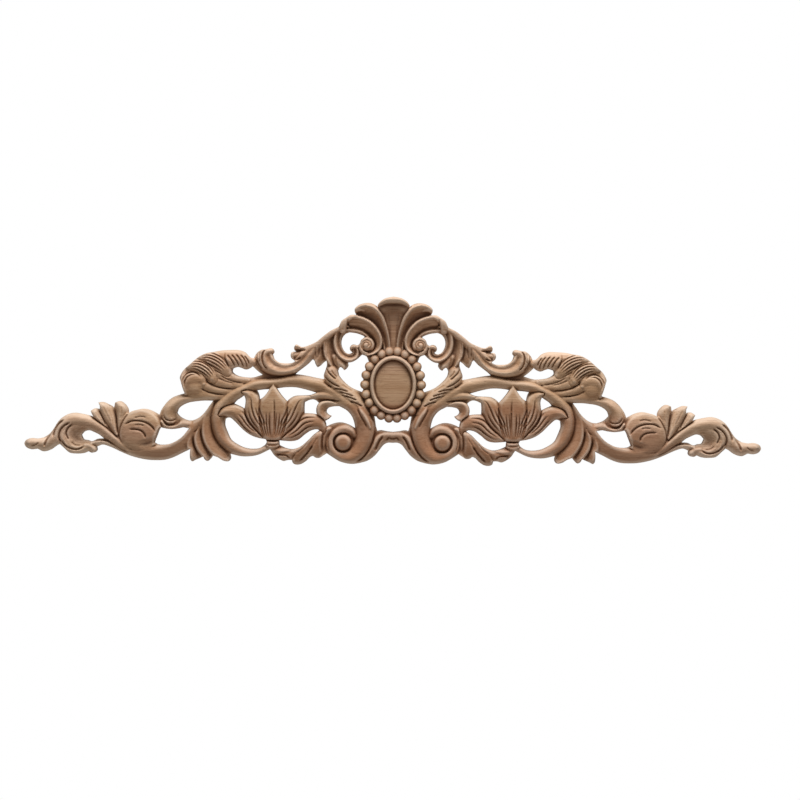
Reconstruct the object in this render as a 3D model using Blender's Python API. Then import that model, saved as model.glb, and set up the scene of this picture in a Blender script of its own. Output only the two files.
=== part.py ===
"""Pierced wood onlay, carved as one board: a beaded medallion, and scrolls, leaves and a lotus each side.

Everything is drawn on a squared pattern as a carver would: "out" from the centre line, "up" from a
level line behind the medallion, and height over the flat back. One square of the pattern is UNIT metres.
X runs along the carving, Z up, the relief faces -Y and the flat back lies in the plane y = 0.
"""
import bmesh
import bpy
import numpy as np
from mathutils import Vector
from mathutils.geometry import delaunay_2d_cdt

LENGTH = 0.600                 # overall length in metres
UNIT = LENGTH / 738.8          # one square of the pattern
PITCH = 0.5                    # spacing of the heights that are worked out, in squares
EDGE = 7.0                     # height of the front's rim over the back
WALL = 3.5                     # slope of the step where one form stands over another
BEAD = 4.6                     # bead radius
BEADS = 22                     # beads round the medallion
BEAD_PATH = (28.4, 33.8)       # half width and half height of the oval they sit on
MEDALLION = (30.3, 35.6)       # half width and half height of the ground under them
RISE = 1.2                     # how far the medallion's middle stands above the pattern's level line
RIM = 2.4                      # how far in from the outline the edge is rounded over
SLACK = 0.17                   # how far the outline's straight edges may stray from the drawing
CENTRE_STEP = 4.0              # spacing of points on the centre line
HALF_TRIANGLES = 4900          # triangles of one half, walls and back included
ROUNDS = 14                    # passes in which the front gains points where it fits worst


def bead_places():
    """Centres of the beads in the right half."""
    turns = (np.arange(BEADS // 2) + 0.5) * 2 * np.pi / BEADS
    return np.column_stack([BEAD_PATH[0] * np.sin(turns), RISE + BEAD_PATH[1] * np.cos(turns)])


class Board:
    """Heights over the right half of the pattern; the left half is its mirror image."""

    def __init__(self):
        self.u = np.arange(0, 372, PITCH)
        self.v = np.arange(-84, 94, PITCH)
        self.U, self.V = np.meshgrid(self.u, self.v)
        self.H = np.zeros(self.U.shape)

    def near(self, path, reach):
        """The part of the grid that a path can touch."""
        half = path[:, 2].max() + reach
        low, high = path[:, :2].min(0) - half, path[:, :2].max(0) + half
        rows, columns = np.searchsorted(self.v, [low[1], high[1]]), np.searchsorted(self.u, [low[0],
            high[0]])
        return slice(*rows), slice(*columns)


def smooth(rows, step=1.0):
    """Centripetal curve through rows of (out, up, half width, height)."""
    p = np.array(rows, float)
    q = np.vstack([2 * p[0] - p[1], p, 2 * p[-1] - p[-2]])
    parts = []
    for a, b, c, d in zip(q, q[1:], q[2:], q[3:]):
        ab, bc, cd = (max(1e-6, np.hypot(*(y - x)[:2])) ** 0.5 for x, y in ((a, b), (b, c), (c, d)))
        leave = (c - b) + bc * ((b - a) / ab - (c - a) / (ab + bc))
        arrive = (c - b) + bc * ((d - c) / cd - (d - b) / (bc + cd))
        t = np.linspace(0, 1, max(2, int(bc ** 2 / step) + 1), endpoint=False)[:, None]
        parts.append((2 * t ** 3 - 3 * t ** 2 + 1) * b + (t ** 3 - 2 * t ** 2 + t) * leave
                     + (3 * t ** 2 - 2 * t ** 3) * c + (t ** 3 - t ** 2) * arrive)
    path = np.vstack(parts + [p[-1:]])
    path[:, 2] = np.maximum(path[:, 2], 0.05)
    return path


def around(U, V, path):
    """For each grid point: distance outside the ribbon, share of its half width (left is +), its height."""
    best, share, height = np.full(U.shape, 1e9), np.zeros(U.shape), np.zeros(U.shape)
    for a, b in zip(path[:-1], path[1:]):
        du, dv = (b - a)[:2]
        if du * du + dv * dv < 1e-12:
            continue
        t = np.clip(((U - a[0]) * du + (V - a[1]) * dv) / (du * du + dv * dv), 0, 1)
        off_u, off_v = U - a[0] - t * du, V - a[1] - t * dv
        off, half = np.hypot(off_u, off_v), a[2] + (b[2] - a[2]) * t
        nearer = off - half < best
        side = np.where(du * off_v >= dv * off_u, 1, -1)
        best = np.where(nearer, off - half, best)
        share = np.where(nearer, side * off / half, share)
        height = np.where(nearer, a[3] + (b[3] - a[3]) * t, height)
    return best, np.clip(share, -1, 1), height


def section(*pairs):
    """A cross section from (share of half width, share of height) pairs, with its corners eased."""
    x = np.linspace(-1, 1, 401)
    y = np.interp(x, *zip(*pairs))
    ease = np.hanning(61)
    eased = np.convolve(np.pad(y, 30, mode="edge"), ease / ease.sum(), "valid")
    keep = np.minimum(1, (1 - np.abs(x)) / 0.06)
    return lambda share: np.interp(share, x, eased * keep + y * (1 - keep))


# cross sections: share of the half width to share of the height
ROUND = lambda x: (1 - x ** 2) ** 0.5
SOFT = lambda x: (1 - x ** 2) ** 0.8
FLAT = lambda x: (1 - x ** 4) ** 0.5
LEAF = section((-1, .0), (-.8, .6), (-.45, .85), (0, 1), (.45, .85), (.8, .6), (1, 0))
HIGH_L = section((-1, 0), (-.7, .45), (-.2, .8), (.35, 1), (.75, .85), (1, .1))
STEM = section((-1, .1), (-.75, .45), (-.4, .75), (0, .95), (.3, 1), (.6, .88), (.85, .6), (1, .2))
ROD = section((-1, .1), (-.75, .5), (-.35, .85), (.05, 1), (.4, .95), (.75, .62), (1, .15))
LOBE = section((-1, .1), (-.7, .45), (-.2, .72), (.3, .95), (.6, 1), (.85, .75), (1, .2))
PETAL = section((-1, 0), (-.85, .62), (-.5, .88), (0, 1), (.5, .88), (.85, .62), (1, 0))
SLANT = section((-1, .1), (-.6, .35), (-.1, .7), (.4, .95), (.75, 1), (1, .3))
BUNDLE = section((-1, .1), (-.8, .6), (-.4, .9), (0, 1), (.5, .9), (.8, .7), (1, .35))
BOWL = section((-1, 0), (-.7, .1), (-.3, .4), (.1, .8), (.5, 1), (.8, .9), (1, .5))
BROAD = section((-1, .2), (-.8, .65), (-.5, .95), (-.1, 1), (.4, .97), (.75, .85), (1, .4))
CRESCENT = section((-1, 0), (-.5, .1), (0, .45), (.4, .8), (.72, 1), (.9, .8), (1, .3))
FROND = section((-1, 0), (-.7, .02), (-.3, .15), (.1, .45), (.4, .8), (.62, 1), (.82, .95), (1, .3))
CHANNEL = section((-1, .3), (-.86, .95), (-.7, 1), (-.45, .72), (-.1, .55), (.2, .28), (.4, 0), (.58, 0),
    (.76, .5), (.9, .55), (1, .2))
RING = section((-1, .25), (-.8, .62), (-.6, .35), (-.35, .2), (0, .55), (.35, .9), (.65, 1), (.85, .75),
    (1, .3))
FAN = section((-1, .9), (-.6, .55), (-.3, .3), (0, .2), (.3, .3), (.6, .55), (1, .9))
BALL = lambda q: np.maximum(0, 1 - q ** 2.6) ** 0.6
DOME = lambda q: (1 - q * q) ** 0.5
BUTTON = lambda q: np.maximum(0, 1 - q ** 4) ** 0.6
LEVEL = lambda q: 1 - 0 * q


def ribbon(rows, across=ROUND, edge=EDGE, over=False, wall=WALL):
    """Lay a ribbon on the board; over=True covers what is there, instead of joining it."""
    path = smooth(rows)
    here = board.near(path, 8)
    outside, share, crest = around(board.U[here], board.V[here], path)
    foot = np.minimum(edge, crest)
    within = foot + (crest - foot) * across(share)
    ground = board.H[here]
    board.H[here] = np.where(outside <= 0, within if over else np.maximum(ground, within),
                             np.maximum(ground, foot - wall * outside))


def dome(centre, a, b, crest, shape, edge=EDGE, over=False, wall=WALL):
    """A round or oval form; shape is read from its middle (0) to its rim (1)."""
    q = np.hypot((board.U - centre[0]) / a, (board.V - centre[1]) / b)
    within = edge + (crest - edge) * shape(np.minimum(q, 1))
    board.H = np.where(q <= 1, within if over else np.maximum(board.H, within),
                       np.maximum(board.H, edge - wall * (q - 1) * min(a, b)))


def groove(rows, path=None):
    """One V cut through rows of (out, up, half width, depth), or along a ready path."""
    path = smooth(rows, 0.7) if path is None else path
    here = board.near(path, 1)
    outside, share, depth = around(board.U[here], board.V[here], path)
    board.H[here] -= np.where(outside <= 0, depth * (1 - np.abs(share)), 0)


def grooves(lines, width=1.2, depth=2.2):
    """V cuts that start and end in a point."""
    for line in lines:
        path = smooth([(a, b, 1, 1) for a, b in line], 0.7)
        full = np.minimum(1, 2.4 * np.sin(np.pi * np.linspace(0.04, 0.96, len(path))))
        path[:, 2:] = np.column_stack([width * (0.3 + 0.7 * full), depth * full])
        groove(None, path)


def veins(rows, shares, start, end, width, depth):
    """V cuts along a ribbon, at shares of its half width; start and end are shares of its length."""
    path = smooth(rows)
    way = np.gradient(path[:, :2], axis=0)
    left = np.column_stack([-way[:, 1], way[:, 0]]) / np.hypot(*way.T)[:, None]
    far = np.linspace(0, 1, len(path))
    kept = (far >= start) & (far <= end)
    taper = np.sin(np.pi * (far - start) / (end - start))[kept, None] ** 0.6
    for share in shares:
        line = (path[:, :2] + left * path[:, 2:3] * share)[kept]
        groove(None, np.hstack([line, width * (0.35 + 0.65 * taper), depth * taper]))


# Outline of one half. Each run is one smooth stroke that starts where the one before it ended, and a
# corner stands between two runs. Where a line would cross the centre it is closed 6 squares beyond it.
OUTER = [
    [(-6, -57)], [(-6, 89.7)], [(0, 89.7)],
    [(8, 88), (13, 85), (16, 81), (15.8, 79)],
    [(18, 81), (23, 83), (29, 83), (35, 81), (39, 77), (39, 74)],
    [(38.3, 72.6), (37.4, 71)],
    [(43, 71), (48, 68), (52, 65), (54, 61), (55, 59)],
    [(63, 55), (71, 49), (77, 44), (83, 41), (88, 39)],
    [(92, 38.5), (95, 40), (97.5, 41), (99.5, 38.5), (99, 35), (97, 33.8)],
    [(99.5, 33.8), (102, 33), (103, 30), (102, 27), (100, 25.5), (98.5, 24.2)],
    [(101, 22.6), (105, 22), (110, 22), (115, 23), (119, 26), (121, 31)],
    [(119.5, 33), (120, 35.5), (122, 37), (126, 36.5), (128.7, 35.8)],
    [(132, 35.5), (136, 33), (138.3, 30), (139.7, 27)],
    [(143, 27.5), (146, 30), (149, 33), (155, 35), (163, 35), (172, 34.5), (180, 33), (188, 31.5),
        (195, 28), (200, 24), (205, 19.5)],
    [(209, 16), (212, 12), (214, 7), (213, 3), (211, -4), (209, -8.8)],
    [(215, -10.5), (221, -13), (226, -17), (230, -22), (232.5, -26), (234.2, -30.5)],
    [(237, -29), (243, -26), (250, -24.5), (258, -26), (262, -27.2), (265.3, -29)],
    [(265.4, -26), (266.6, -23), (270, -19), (274, -17), (278.8, -18.5)],
    [(279.2, -21), (279.6, -23.8)],
    [(282, -22), (285, -20.5), (291, -18), (295.6, -18.5)],
    [(294.6, -20.5), (294, -22.5), (294.2, -25.4)],
    [(296.5, -24.6), (299, -24.5), (303.2, -27)],
    [(302, -30), (300.4, -33)],
    [(305, -31.5), (312, -30), (320, -29), (327, -31), (333, -35), (337, -40), (340, -45),
        (344.5, -50.5), (350, -54)],
    [(357, -55.2), (363, -54.8), (368, -57), (369.4, -60.5), (367, -64.2), (362, -66), (356, -65.4)],
    [(350, -68), (343, -66), (337, -61.8), (334, -60.4)],
    [(330, -64), (324, -69), (317, -70), (310, -69.5), (305, -67.5)],
    [(302, -69), (298, -68), (296.5, -66), (297, -62.8)],
    [(291, -60.8), (283, -63), (272, -68), (262, -72), (250, -75), (240, -76), (228, -75.5),
        (220, -73), (212, -69), (203, -64.5)],
    [(203.4, -70), (202.8, -75), (201, -77), (198, -75.5), (193, -73.5), (190, -72)],
    [(188.5, -75), (185.5, -76.5), (182.5, -74), (180.3, -71)],
    [(175, -73), (170, -76), (164.6, -76.6), (162.3, -73.5), (163, -69)],
    [(152, -71.5), (143, -71.5), (135, -70), (127, -66.3), (123, -64.2)],
    [(121, -67), (119, -70), (114, -74), (109, -76), (105, -75), (101, -75)],
    [(100, -78), (97, -79.5), (92, -79), (87, -76), (83, -72), (80, -70.6)],
    [(77, -72.5), (73, -72.5), (70, -70.5), (66, -68)],
    [(60, -72), (53, -76), (46, -78), (40, -78.5), (33, -77.5)],
    [(25, -75), (18, -70), (13, -64), (9, -59), (5, -57), (0, -57)],
]
WINDOWS = [
    # window under the medallion (one half)
    [[(-6, -46)], [(-6, -34)], [(0, -34)], [(10, -32), (18.6, -30.5)], [(17.6, -36), (17, -40),
     (15.6, -45)], [(12, -44.3), (6, -45.4), (0, -46)]],
    # between the beads, the ring and the feathered leaf
    [[(27, 29.5), (24.5, 24)], [(29, 12), (29, 0), (31, -6.2)], [(37, -4), (43, -1), (49, 4), (54, 10),
     (55.3, 15)], [(53.4, 18.6), (51, 17.6), (49.2, 15.5)], [(47, 17), (45, 20), (45.4, 23.2)], [(41, 24),
     (36, 27), (31.5, 31.3)]],
    # inside the ring scroll
    [[(36, 52.4), (29, 49), (32.4, 46), (34, 42), (36.3, 40.4)], [(39, 41.4), (41.6, 41), (43.6, 38.5),
     (43.3, 35.5), (41, 33.4)], [(44, 32), (47.5, 33), (50.4, 36.5), (52.2, 42), (51.2, 48), (48, 52),
     (44, 53.6)]],
    # between the S scroll, the drooping leaf and the arch
    [[(94, 15), (90, 18), (85, 22), (81, 26.3)], [(79.2, 25), (78, 21.5), (76, 18.3)], [(73, 20),
     (70, 23), (67, 25.2)], [(66.5, 21), (68, 15.5), (69.6, 10.5), (69.2, 6.4)], [(78, 8), (88, 10),
     (98, 11.4)]],
    # under the wing leaf
    [[(134.5, 13), (138, 16), (141, 19)], [(144, 16.8), (148, 15.5), (152, 17), (156, 18), (160.6, 16.6)],
     [(161.2, 13.5), (159, 11), (155, 9), (150, 8), (141, 7.6), (131, 10.4)]],
    # between the arch and the lotus
    [[(108, -2), (98, -2), (88, -4), (77, -7.2)], [(83, -9.5), (91, -10), (98, -10.5), (103, -13),
     (106.3, -16)], [(110, -12), (114, -7), (116.4, -3.2)]],
    [[(130, -4.4), (136.4, -5.2)], [(134.6, -9), (133.6, -14.4)], [(130, -12), (126.6, -8), (124, -4)]],
    [[(156.4, -15.2), (153, -13), (149.4, -10.4)], [(148, -14), (148.2, -20), (149, -23.6)],
     [(153, -21.4), (159.4, -18.6)]],
    [[(84, -14.6), (80, -14), (77, -15), (74.4, -17.4)], [(76.4, -21), (77, -25), (76.4, -29)],
     [(80, -28.2), (88.6, -27.8)], [(88.8, -22), (88.5, -16.8)]],
    # above the volute
    [[(67, -38), (67.8, -35.4)], [(64.5, -33.6), (61.4, -30.4)], [(65, -28.6), (66.6, -26), (65, -22.6),
     (60, -21), (54, -20.6)], [(46, -25), (41, -31), (38.5, -38), (37.8, -42.5)], [(44, -39), (50, -37),
     (56, -37), (62, -38.8), (66.6, -41)]],
    # either side of the lotus stalk
    [[(108, -55.8), (101, -56), (95, -54.6), (88, -49), (82, -45.2), (76, -44), (73.6, -45)], [(79, -49),
     (85, -55), (92, -61), (100, -64), (107, -63), (113.4, -60.2)], [(114, -55.2)]],
    [[(166, -33), (163, -33), (157, -38), (150, -45), (143, -50), (135, -53), (127.6, -54.2)],
     [(126.4, -57), (128, -60)], [(133, -63), (140, -64), (148, -63), (155, -60), (162, -55), (166, -47),
     (168.4, -40), (168, -34)]],
    # between the wing's stem and the outer band
    [[(215, -24), (211, -20.6), (205, -18), (198, -16.8), (190, -16), (180.4, -16)], [(184, -21),
     (189, -28), (194.5, -33), (200, -35.6), (205, -36)], [(210, -34.2), (214, -31.6), (216.6, -28.6)]],
    [[(236, -60), (230, -60.5), (222, -59), (212, -53), (204.4, -44)], [(210, -43), (216, -44.2),
     (222, -44.8), (228, -44.2), (233, -43)], [(234.6, -46), (236, -50), (238, -55), (239, -58.2)]],
    # inside the end curl
    [[(309, -47.5), (304, -46.6), (300, -48), (294, -51), (289.6, -54.6)], [(296, -55), (300, -57),
     (303, -57.6)], [(306, -56.4), (310, -55.6), (312.4, -51)]],
]


def polygon(runs):
    """One closed line; each run starts where the one before it ends."""
    starts = [run[-1:] for run in runs[-1:] + runs[:-1]]
    return np.vstack([smooth([(a, b, 1, 1) for a, b in start + run])[:-1, :2]
                      for start, run in zip(starts, runs)])


def filled(line):
    """Which grid points lie inside a closed line."""
    inner = np.zeros(board.U.shape, bool)
    a, b = line, np.roll(line, -1, axis=0)
    for row, y in enumerate(board.v):
        hit = (a[:, 1] > y) != (b[:, 1] > y)
        at = np.sort(a[hit, 0] + (y - a[hit, 1]) * (b - a)[hit, 0] / (b - a)[hit, 1])
        inner[row] = np.searchsorted(at, board.u) % 2 == 1
    return inner


def from_line(line, reach=4.0):
    """Distance of grid points from a closed line, up to a reach."""
    away = np.full(board.U.shape, reach)
    for a, b in zip(line, np.roll(line, -1, axis=0)):
        du, dv = b - a
        here = board.near(np.column_stack([[a, b], [0, 0]]), reach)
        off_u, off_v = board.U[here] - a[0], board.V[here] - a[1]
        t = np.clip((off_u * du + off_v * dv) / (du * du + dv * dv), 0, 1)
        away[here] = np.minimum(away[here], np.hypot(off_u - t * du, off_v - t * dv))
    return away


def inside(runs):
    """How far each grid point lies inside the line through the runs, negative outside it."""
    line = polygon(runs)
    return np.where(filled(line), 1, -1) * from_line(line)


def silhouette():
    """How far each grid point lies inside the wood."""
    inwards = inside(OUTER)
    for runs in WINDOWS:
        inwards = np.minimum(inwards, -inside(runs))
    oval = (1 - np.hypot(board.U / MEDALLION[0], (board.V - RISE) / MEDALLION[1])) * min(MEDALLION)
    inwards = np.maximum(inwards, oval)
    for u, v in bead_places():
        inwards = np.maximum(inwards, BEAD - np.hypot(board.U - u, board.V - v))
    return inwards


def bridge():
    """The shallow arch that carries the medallion and runs out into the volute."""
    ribbon([(-2, -51.5, 5.8, 12.5), (0, -51.5, 5.8, 12.5), (6, -51.6, 6, 12.5), (12, -54, 6.6, 12.5),
        (17, -61, 5.8, 12.2), (22, -68, 4.6, 11.6), (28, -73.5, 3.4, 10.6), (34, -76, 2, 9)], HIGH_L,
        edge=6.5)
    grooves([[(10, -50.5), (13, -54.6), (15.6, -60), (17.4, -64.6)]], 1.8, 3.4)


def volute_and_stem():
    """The coil with its button, and the stem that climbs from it beside the medallion."""
    ribbon([(38.6, -50, 3, 10.5), (42, -46.4, 4.6, 12), (49, -45, 6, 13), (56.6, -48.6, 6.2, 13),
        (60.6, -56, 6.4, 13.2), (58.6, -64.4, 6.8, 13.6), (51.4, -69.8, 7.4, 14), (42, -70.6, 8, 14.6),
        (34.4, -65, 8.6, 15), (30, -57, 9, 15.2), (28, -48, 9.6, 15.2), (28.6, -39.4, 10, 15),
        (34, -31, 9.4, 14.8), (41, -23.6, 8.6, 14.4), (48.5, -17.4, 8, 14), (56, -11.4, 7.4, 13.4),
        (65, -5.6, 6.4, 12.8), (74, -1.6, 5.4, 12)], STEM, edge=6.5)
    grooves([[(18.4, -48), (19.8, -56), (24, -65), (30.4, -72.4), (37, -76.4)]], 1.2, 2.6)
    dome((49.8, -57), 10.2, 10.2, 8.4, LEVEL, edge=8.4, over=True)
    dome((49.8, -57), 8.6, 8.6, 15.4, BUTTON, edge=8, over=True, wall=6)


def acanthus():
    """Three leaflets that turn outward from the volute."""
    ribbon([(64, -45, 4, 12), (70, -50, 6.4, 12.8), (74.6, -57, 9, 13.4), (78, -63, 9.2, 13),
        (82, -66.6, 7.6, 12), (84.6, -69, 6, 11)], HIGH_L, edge=6.5)
    ribbon([(76, -50, 4, 12.4), (82, -57, 6.6, 13.4), (88, -64, 8.6, 13.6), (93, -69.6, 8.6, 13),
        (96.6, -74, 6, 11.6)], HIGH_L, edge=6.5)
    ribbon([(90, -60, 3, 12.4), (96, -65.4, 5.4, 13.2), (103, -68.6, 6, 13.2), (109, -70.4, 5.4, 12.4),
        (112, -71, 4, 11.4)], SOFT, edge=6.5)
    ribbon([(97, -63.6, 3, 12), (105, -65.6, 3.8, 13), (112, -66.2, 4, 12.8), (119, -64.8, 3.4, 11.6)],
        SOFT, edge=6.5)
    grooves([[(80.6, -60.4), (84.6, -66.6), (89, -71.6), (93, -75.6)], [(69, -46.4), (70.6, -53),
        (71, -60), (70, -68)]], 1.5, 3.4)
    grooves([[(116.4, -69.4), (111, -69.9), (106, -70.6), (102.4, -73.6)]], 1.1, 2.8)


def curling_leaf():
    """The short leaf that hooks back under the arch."""
    ribbon([(56, -12, 4, 12), (66, -9.8, 5, 12.6), (76, -9.8, 3.8, 12.4), (83, -11.4, 2.2, 11.6),
        (88, -13.4, 1, 11)], SOFT, edge=7.5)
    ribbon([(57, -19, 1.8, 11.4), (64, -17.8, 3, 12.6), (70.4, -20, 4.8, 13.2), (72.4, -25.6, 5, 13.2),
        (69.6, -30.4, 4.8, 12.4), (65.4, -31.8, 3.2, 11.6), (62.4, -30.4, 1.4, 10.6)], HIGH_L, edge=7.5)
    grooves([[(53, -15.6), (61, -14.8), (69, -14.9), (76, -17)]], 1.2, 3)


def arch():
    """The long stem over the lotus and round to its stalk."""
    ribbon([(68, -2.4, 6.6, 12.4), (76, 0, 7.4, 13.2), (85, 2, 7.4, 13.6), (94, 4, 7, 13.6),
        (103, 4.2, 6.3, 13.5), (112, 2.8, 5.6, 13.2), (122, 1.6, 5.3, 13.2), (132, .8, 5.4, 13.4),
        (141, -1, 5.6, 13.6), (150, -5, 6.2, 14), (160, -10.5, 6.6, 14.2), (168, -17, 6.8, 14.2),
        (174, -25, 6.8, 14.2), (176, -34, 6.8, 14.2), (174.6, -44, 7, 14), (170.5, -53, 6.9, 13.8),
        (163, -60.5, 6.5, 13.5), (153, -65.5, 5.7, 13), (143, -67.5, 4.6, 12.5), (134, -66, 3.7, 11.8),
        (126, -62.5, 2.8, 11)], ROD, edge=6.5)


def outer_band():
    """The band that runs out to the end, and the lobes that hang from it."""
    ribbon([(181, -17, 2.2, 13), (186, -29, 5, 13.5), (193, -40, 7.6, 13.6), (203, -51, 10, 13.8),
        (214, -60.5, 11, 13.8), (227, -67, 9, 13.4), (240, -68.5, 7.4, 13), (252, -69, 5.8, 12.6),
        (264, -68, 3.8, 12), (274, -64.5, 2.6, 11.5), (285, -60, 2.4, 11.3), (294, -59, 2.8, 11.5),
        (301, -60, 3, 11.4)], HIGH_L, edge=6.5)
    ribbon([(184.6, -24, 2.4, 12.8), (187, -36, 4.6, 13.6), (187, -46, 5.6, 14), (184.6, -56, 6.6, 14),
        (178.6, -65, 7.2, 13.6), (170.6, -71.4, 5.6, 12.4), (165, -75, 2.4, 11)], LOBE, edge=7)
    ribbon([(194, -44, 2.6, 13.2), (195.4, -54, 4.4, 14), (192.4, -63.6, 5, 13.8),
        (187.6, -70.6, 4.2, 12.6), (185, -75.4, 2, 11)], LOBE, edge=7)
    ribbon([(201.6, -52, 2.4, 13.2), (203, -60, 4.2, 13.6), (200.6, -68, 4.8, 13),
        (199.4, -73.6, 3.4, 11.8), (200.6, -76.2, 1.8, 10.6)], LOBE, edge=7)
    groove([(192, -41, .5, .3), (192, -49, 1.3, 2.2), (189.8, -57.6, 1.6, 3.4), (185.6, -65.6, 1.8, 4),
        (181, -71.4, 2, 4.6)])
    groove([(200, -49, .5, .3), (200, -56.6, 1.3, 2.2), (197.6, -64.6, 1.6, 3.4), (192.4, -72.4, 2, 4.4)])


def lotus():
    """Two far petals, two near ones, then the broad one in the middle, each over what lies below it."""
    far_right = [(127, -53.4, 3, 12.4), (137, -48, 5.4, 13), (146, -40, 7.4, 13.6), (153, -31, 8.6, 13.6),
        (160.5, -26.5, 7, 14.4), (168.5, -26.8, 4.8, 15), (174, -30.4, 1.4, 14)]
    far_left = [(114, -53.4, 3, 12.4), (105, -51, 5, 13), (97, -46, 7.4, 13.6), (88, -38, 9.3, 13.6),
        (79, -36.5, 8, 13.2), (72.3, -39.5, 5.6, 12.4), (69.2, -45, 2.6, 11), (69, -49, 1, 9.6)]
    near_right = [(124.6, -53, 4, 13.4), (131, -43, 6.5, 14.6), (138, -32, 9, 15.2),
        (141, -22, 8.6, 15.2), (142, -14, 7.6, 14.8), (145.6, -8.6, 4.2, 15), (150.8, -7, 1.3, 14)]
    near_left = [(116.4, -53, 4, 13.4), (109.5, -43, 6.5, 14.6), (102, -32, 9, 15.2),
        (97.6, -22, 9.2, 15.2), (94, -16, 6.6, 14.6), (87.5, -12.4, 2.8, 13), (82, -12.1, 0.9, 11.6)]
    middle = [(120.5, -54, 7, 14), (120.4, -47, 10.6, 15.4), (120.3, -39, 13.2, 16.4),
        (120, -30, 14.4, 17), (119.8, -22, 14.2, 17), (119.4, -14, 10.8, 16.6), (119.9, -7, 5.4, 15.8),
        (120, -3, 2.6, 15), (120, 0, 0.7, 14.4)]
    for petal in (far_right, far_left, near_right, near_left):
        ribbon(petal, LEAF, edge=8, over=True)
    ribbon(middle, PETAL, edge=10.4, over=True)
    veins(far_right, (-.5, 0, .5), .2, .66, 1.1, 3)
    veins(far_left, (.5, 0, -.5), .16, .7, 1.1, 3)
    veins(near_right, (-.05,), .2, .84, 1.1, 3.2)
    veins(near_right, (-.5, .36, .72), .2, .6, 1.1, 3)
    veins(near_left, (.05,), .2, .84, 1.1, 3.2)
    veins(near_left, (.5, -.36, -.72), .2, .6, 1.1, 3)
    veins(middle, (-.86, -.66, .66, .86), .04, .4, 1, 3)
    veins(middle, (-.46, -.24, .24, .46), .03, .5, 1, 3)
    groove([(119.2, -12, .4, .3), (118.6, -20, .9, 2.2), (118.4, -30, 1, 2.6), (118.6, -42, .9, 2.2),
        (119.4, -50, .4, .4)])
    ribbon([(127, -57, 2, 12.5), (123.5, -58, 2.6, 13.8), (117, -58, 2.6, 13.8), (113.6, -57, 2, 12.5)],
        ROUND, edge=7, over=True)
    ribbon([(126, -60.4, 1.6, 12.5), (122.5, -61.6, 2.4, 13.6), (118, -61.6, 2.4, 13.6),
        (115, -60.4, 1.6, 12.5)], ROUND, edge=7)
    grooves([[(110, -53.6), (114.6, -55.2), (120, -55.7), (125.6, -55.2), (130, -53.6)]], 1.1, 3.4)


def crest():
    """The fluted fan with its raised lip, and the fronds in front of it."""
    ribbon([(0, 30, 9, 9.6), (0, 50, 11, 10.6), (0, 60, 13, 11.4), (0, 70, 16, 12.8), (0, 80, 20, 15)],
        FAN, edge=8.6)
    ribbon([(-17.4, 79.4, 1.8, 18), (-13, 83, 3.2, 20.6), (-8, 85.6, 4, 22), (0, 86.4, 4.2, 22),
        (8, 85.6, 4, 22), (13, 83, 3.2, 20.6), (17.4, 79.4, 1.8, 18)], ROUND, edge=10, over=True, wall=6)
    ribbon([(5, 34, 2.6, 12), (7, 48, 3.2, 14), (10.6, 58, 4.6, 16), (15.4, 67, 6.4, 17.6),
        (21.6, 73, 7.8, 18.6), (28.4, 75, 8, 18.6), (34.4, 74.4, 5.8, 17.6), (37.8, 73.6, 2.4, 16)],
        FROND, edge=8, over=True)
    ribbon([(39, 74.4, 2, 15.6), (36.4, 76.6, 3, 17.2), (32.4, 76.8, 2.6, 16.4), (29.4, 75.2, 1.2, 14)],
        ROUND, edge=9)
    ribbon([(55, 58, 4, 13.5), (51, 61.6, 6.4, 16), (43, 62.6, 8.4, 16.8), (36, 62, 8.6, 17),
        (28, 59, 8.2, 16.8), (21.4, 53.4, 7.4, 16.6), (17, 46, 6.2, 16), (16.4, 39, 4.6, 15.4),
        (20, 34.6, 3.2, 14.8), (25, 32.6, 2.4, 14.4), (29.4, 33, 2.2, 14)], CHANNEL, edge=7)
    ribbon([(37, 69.6, 1.6, 16.4), (43, 68.4, 3, 17), (48.4, 65, 4, 17.4), (50.8, 60.4, 4.6, 16.8),
        (51, 56, 4, 15)], FLAT, edge=8, wall=5)
    groove([(45.6, 67, .4, .4), (45.7, 64, 1.1, 3), (45.8, 60, 1.3, 3.6), (46, 57, .6, 1.6)])
    dome((26.8, 40.8), 7.4, 7.2, 11.4, LEVEL, edge=11.4, over=True)
    ribbon([(27, 32.8, 2, 14), (31.6, 35.2, 2.2, 14.2), (33.4, 39.6, 1.9, 14.2), (31.6, 44.6, 1.9, 14.2),
        (27, 47, 2, 14.2), (22.4, 45, 2, 14.2), (20.6, 40.6, 1.8, 14.2), (22, 36.8, 1.6, 14)], ROUND,
        edge=9, wall=5)
    dome((26.8, 40.6), 5.3, 5.3, 15.8, DOME, edge=11, wall=5)
    grooves([[(20.6, 37.8), (23.4, 34.9), (27.4, 34.3), (30.4, 36.2)]], 1.2, 3.4)


def ring_scroll():
    """The stem that almost closes on itself beside the crest."""
    ribbon([(47, 58, 3, 13), (53.5, 54.6, 4, 13.4), (56.2, 47, 4.1, 13.6), (55.6, 38, 4.2, 13.6),
        (51, 30.6, 4.3, 13.6), (44, 27.7, 4.3, 13.4), (38.6, 29.6, 3.8, 13), (37.2, 34, 3, 12.8),
        (38, 37.6, 2.4, 13)], RING, edge=6.5)
    ribbon([(36, 38.8, 1.6, 13), (39.6, 39.2, 1.9, 13.8), (42.8, 37.9, 1.5, 13)], ROUND, edge=8)


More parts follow.
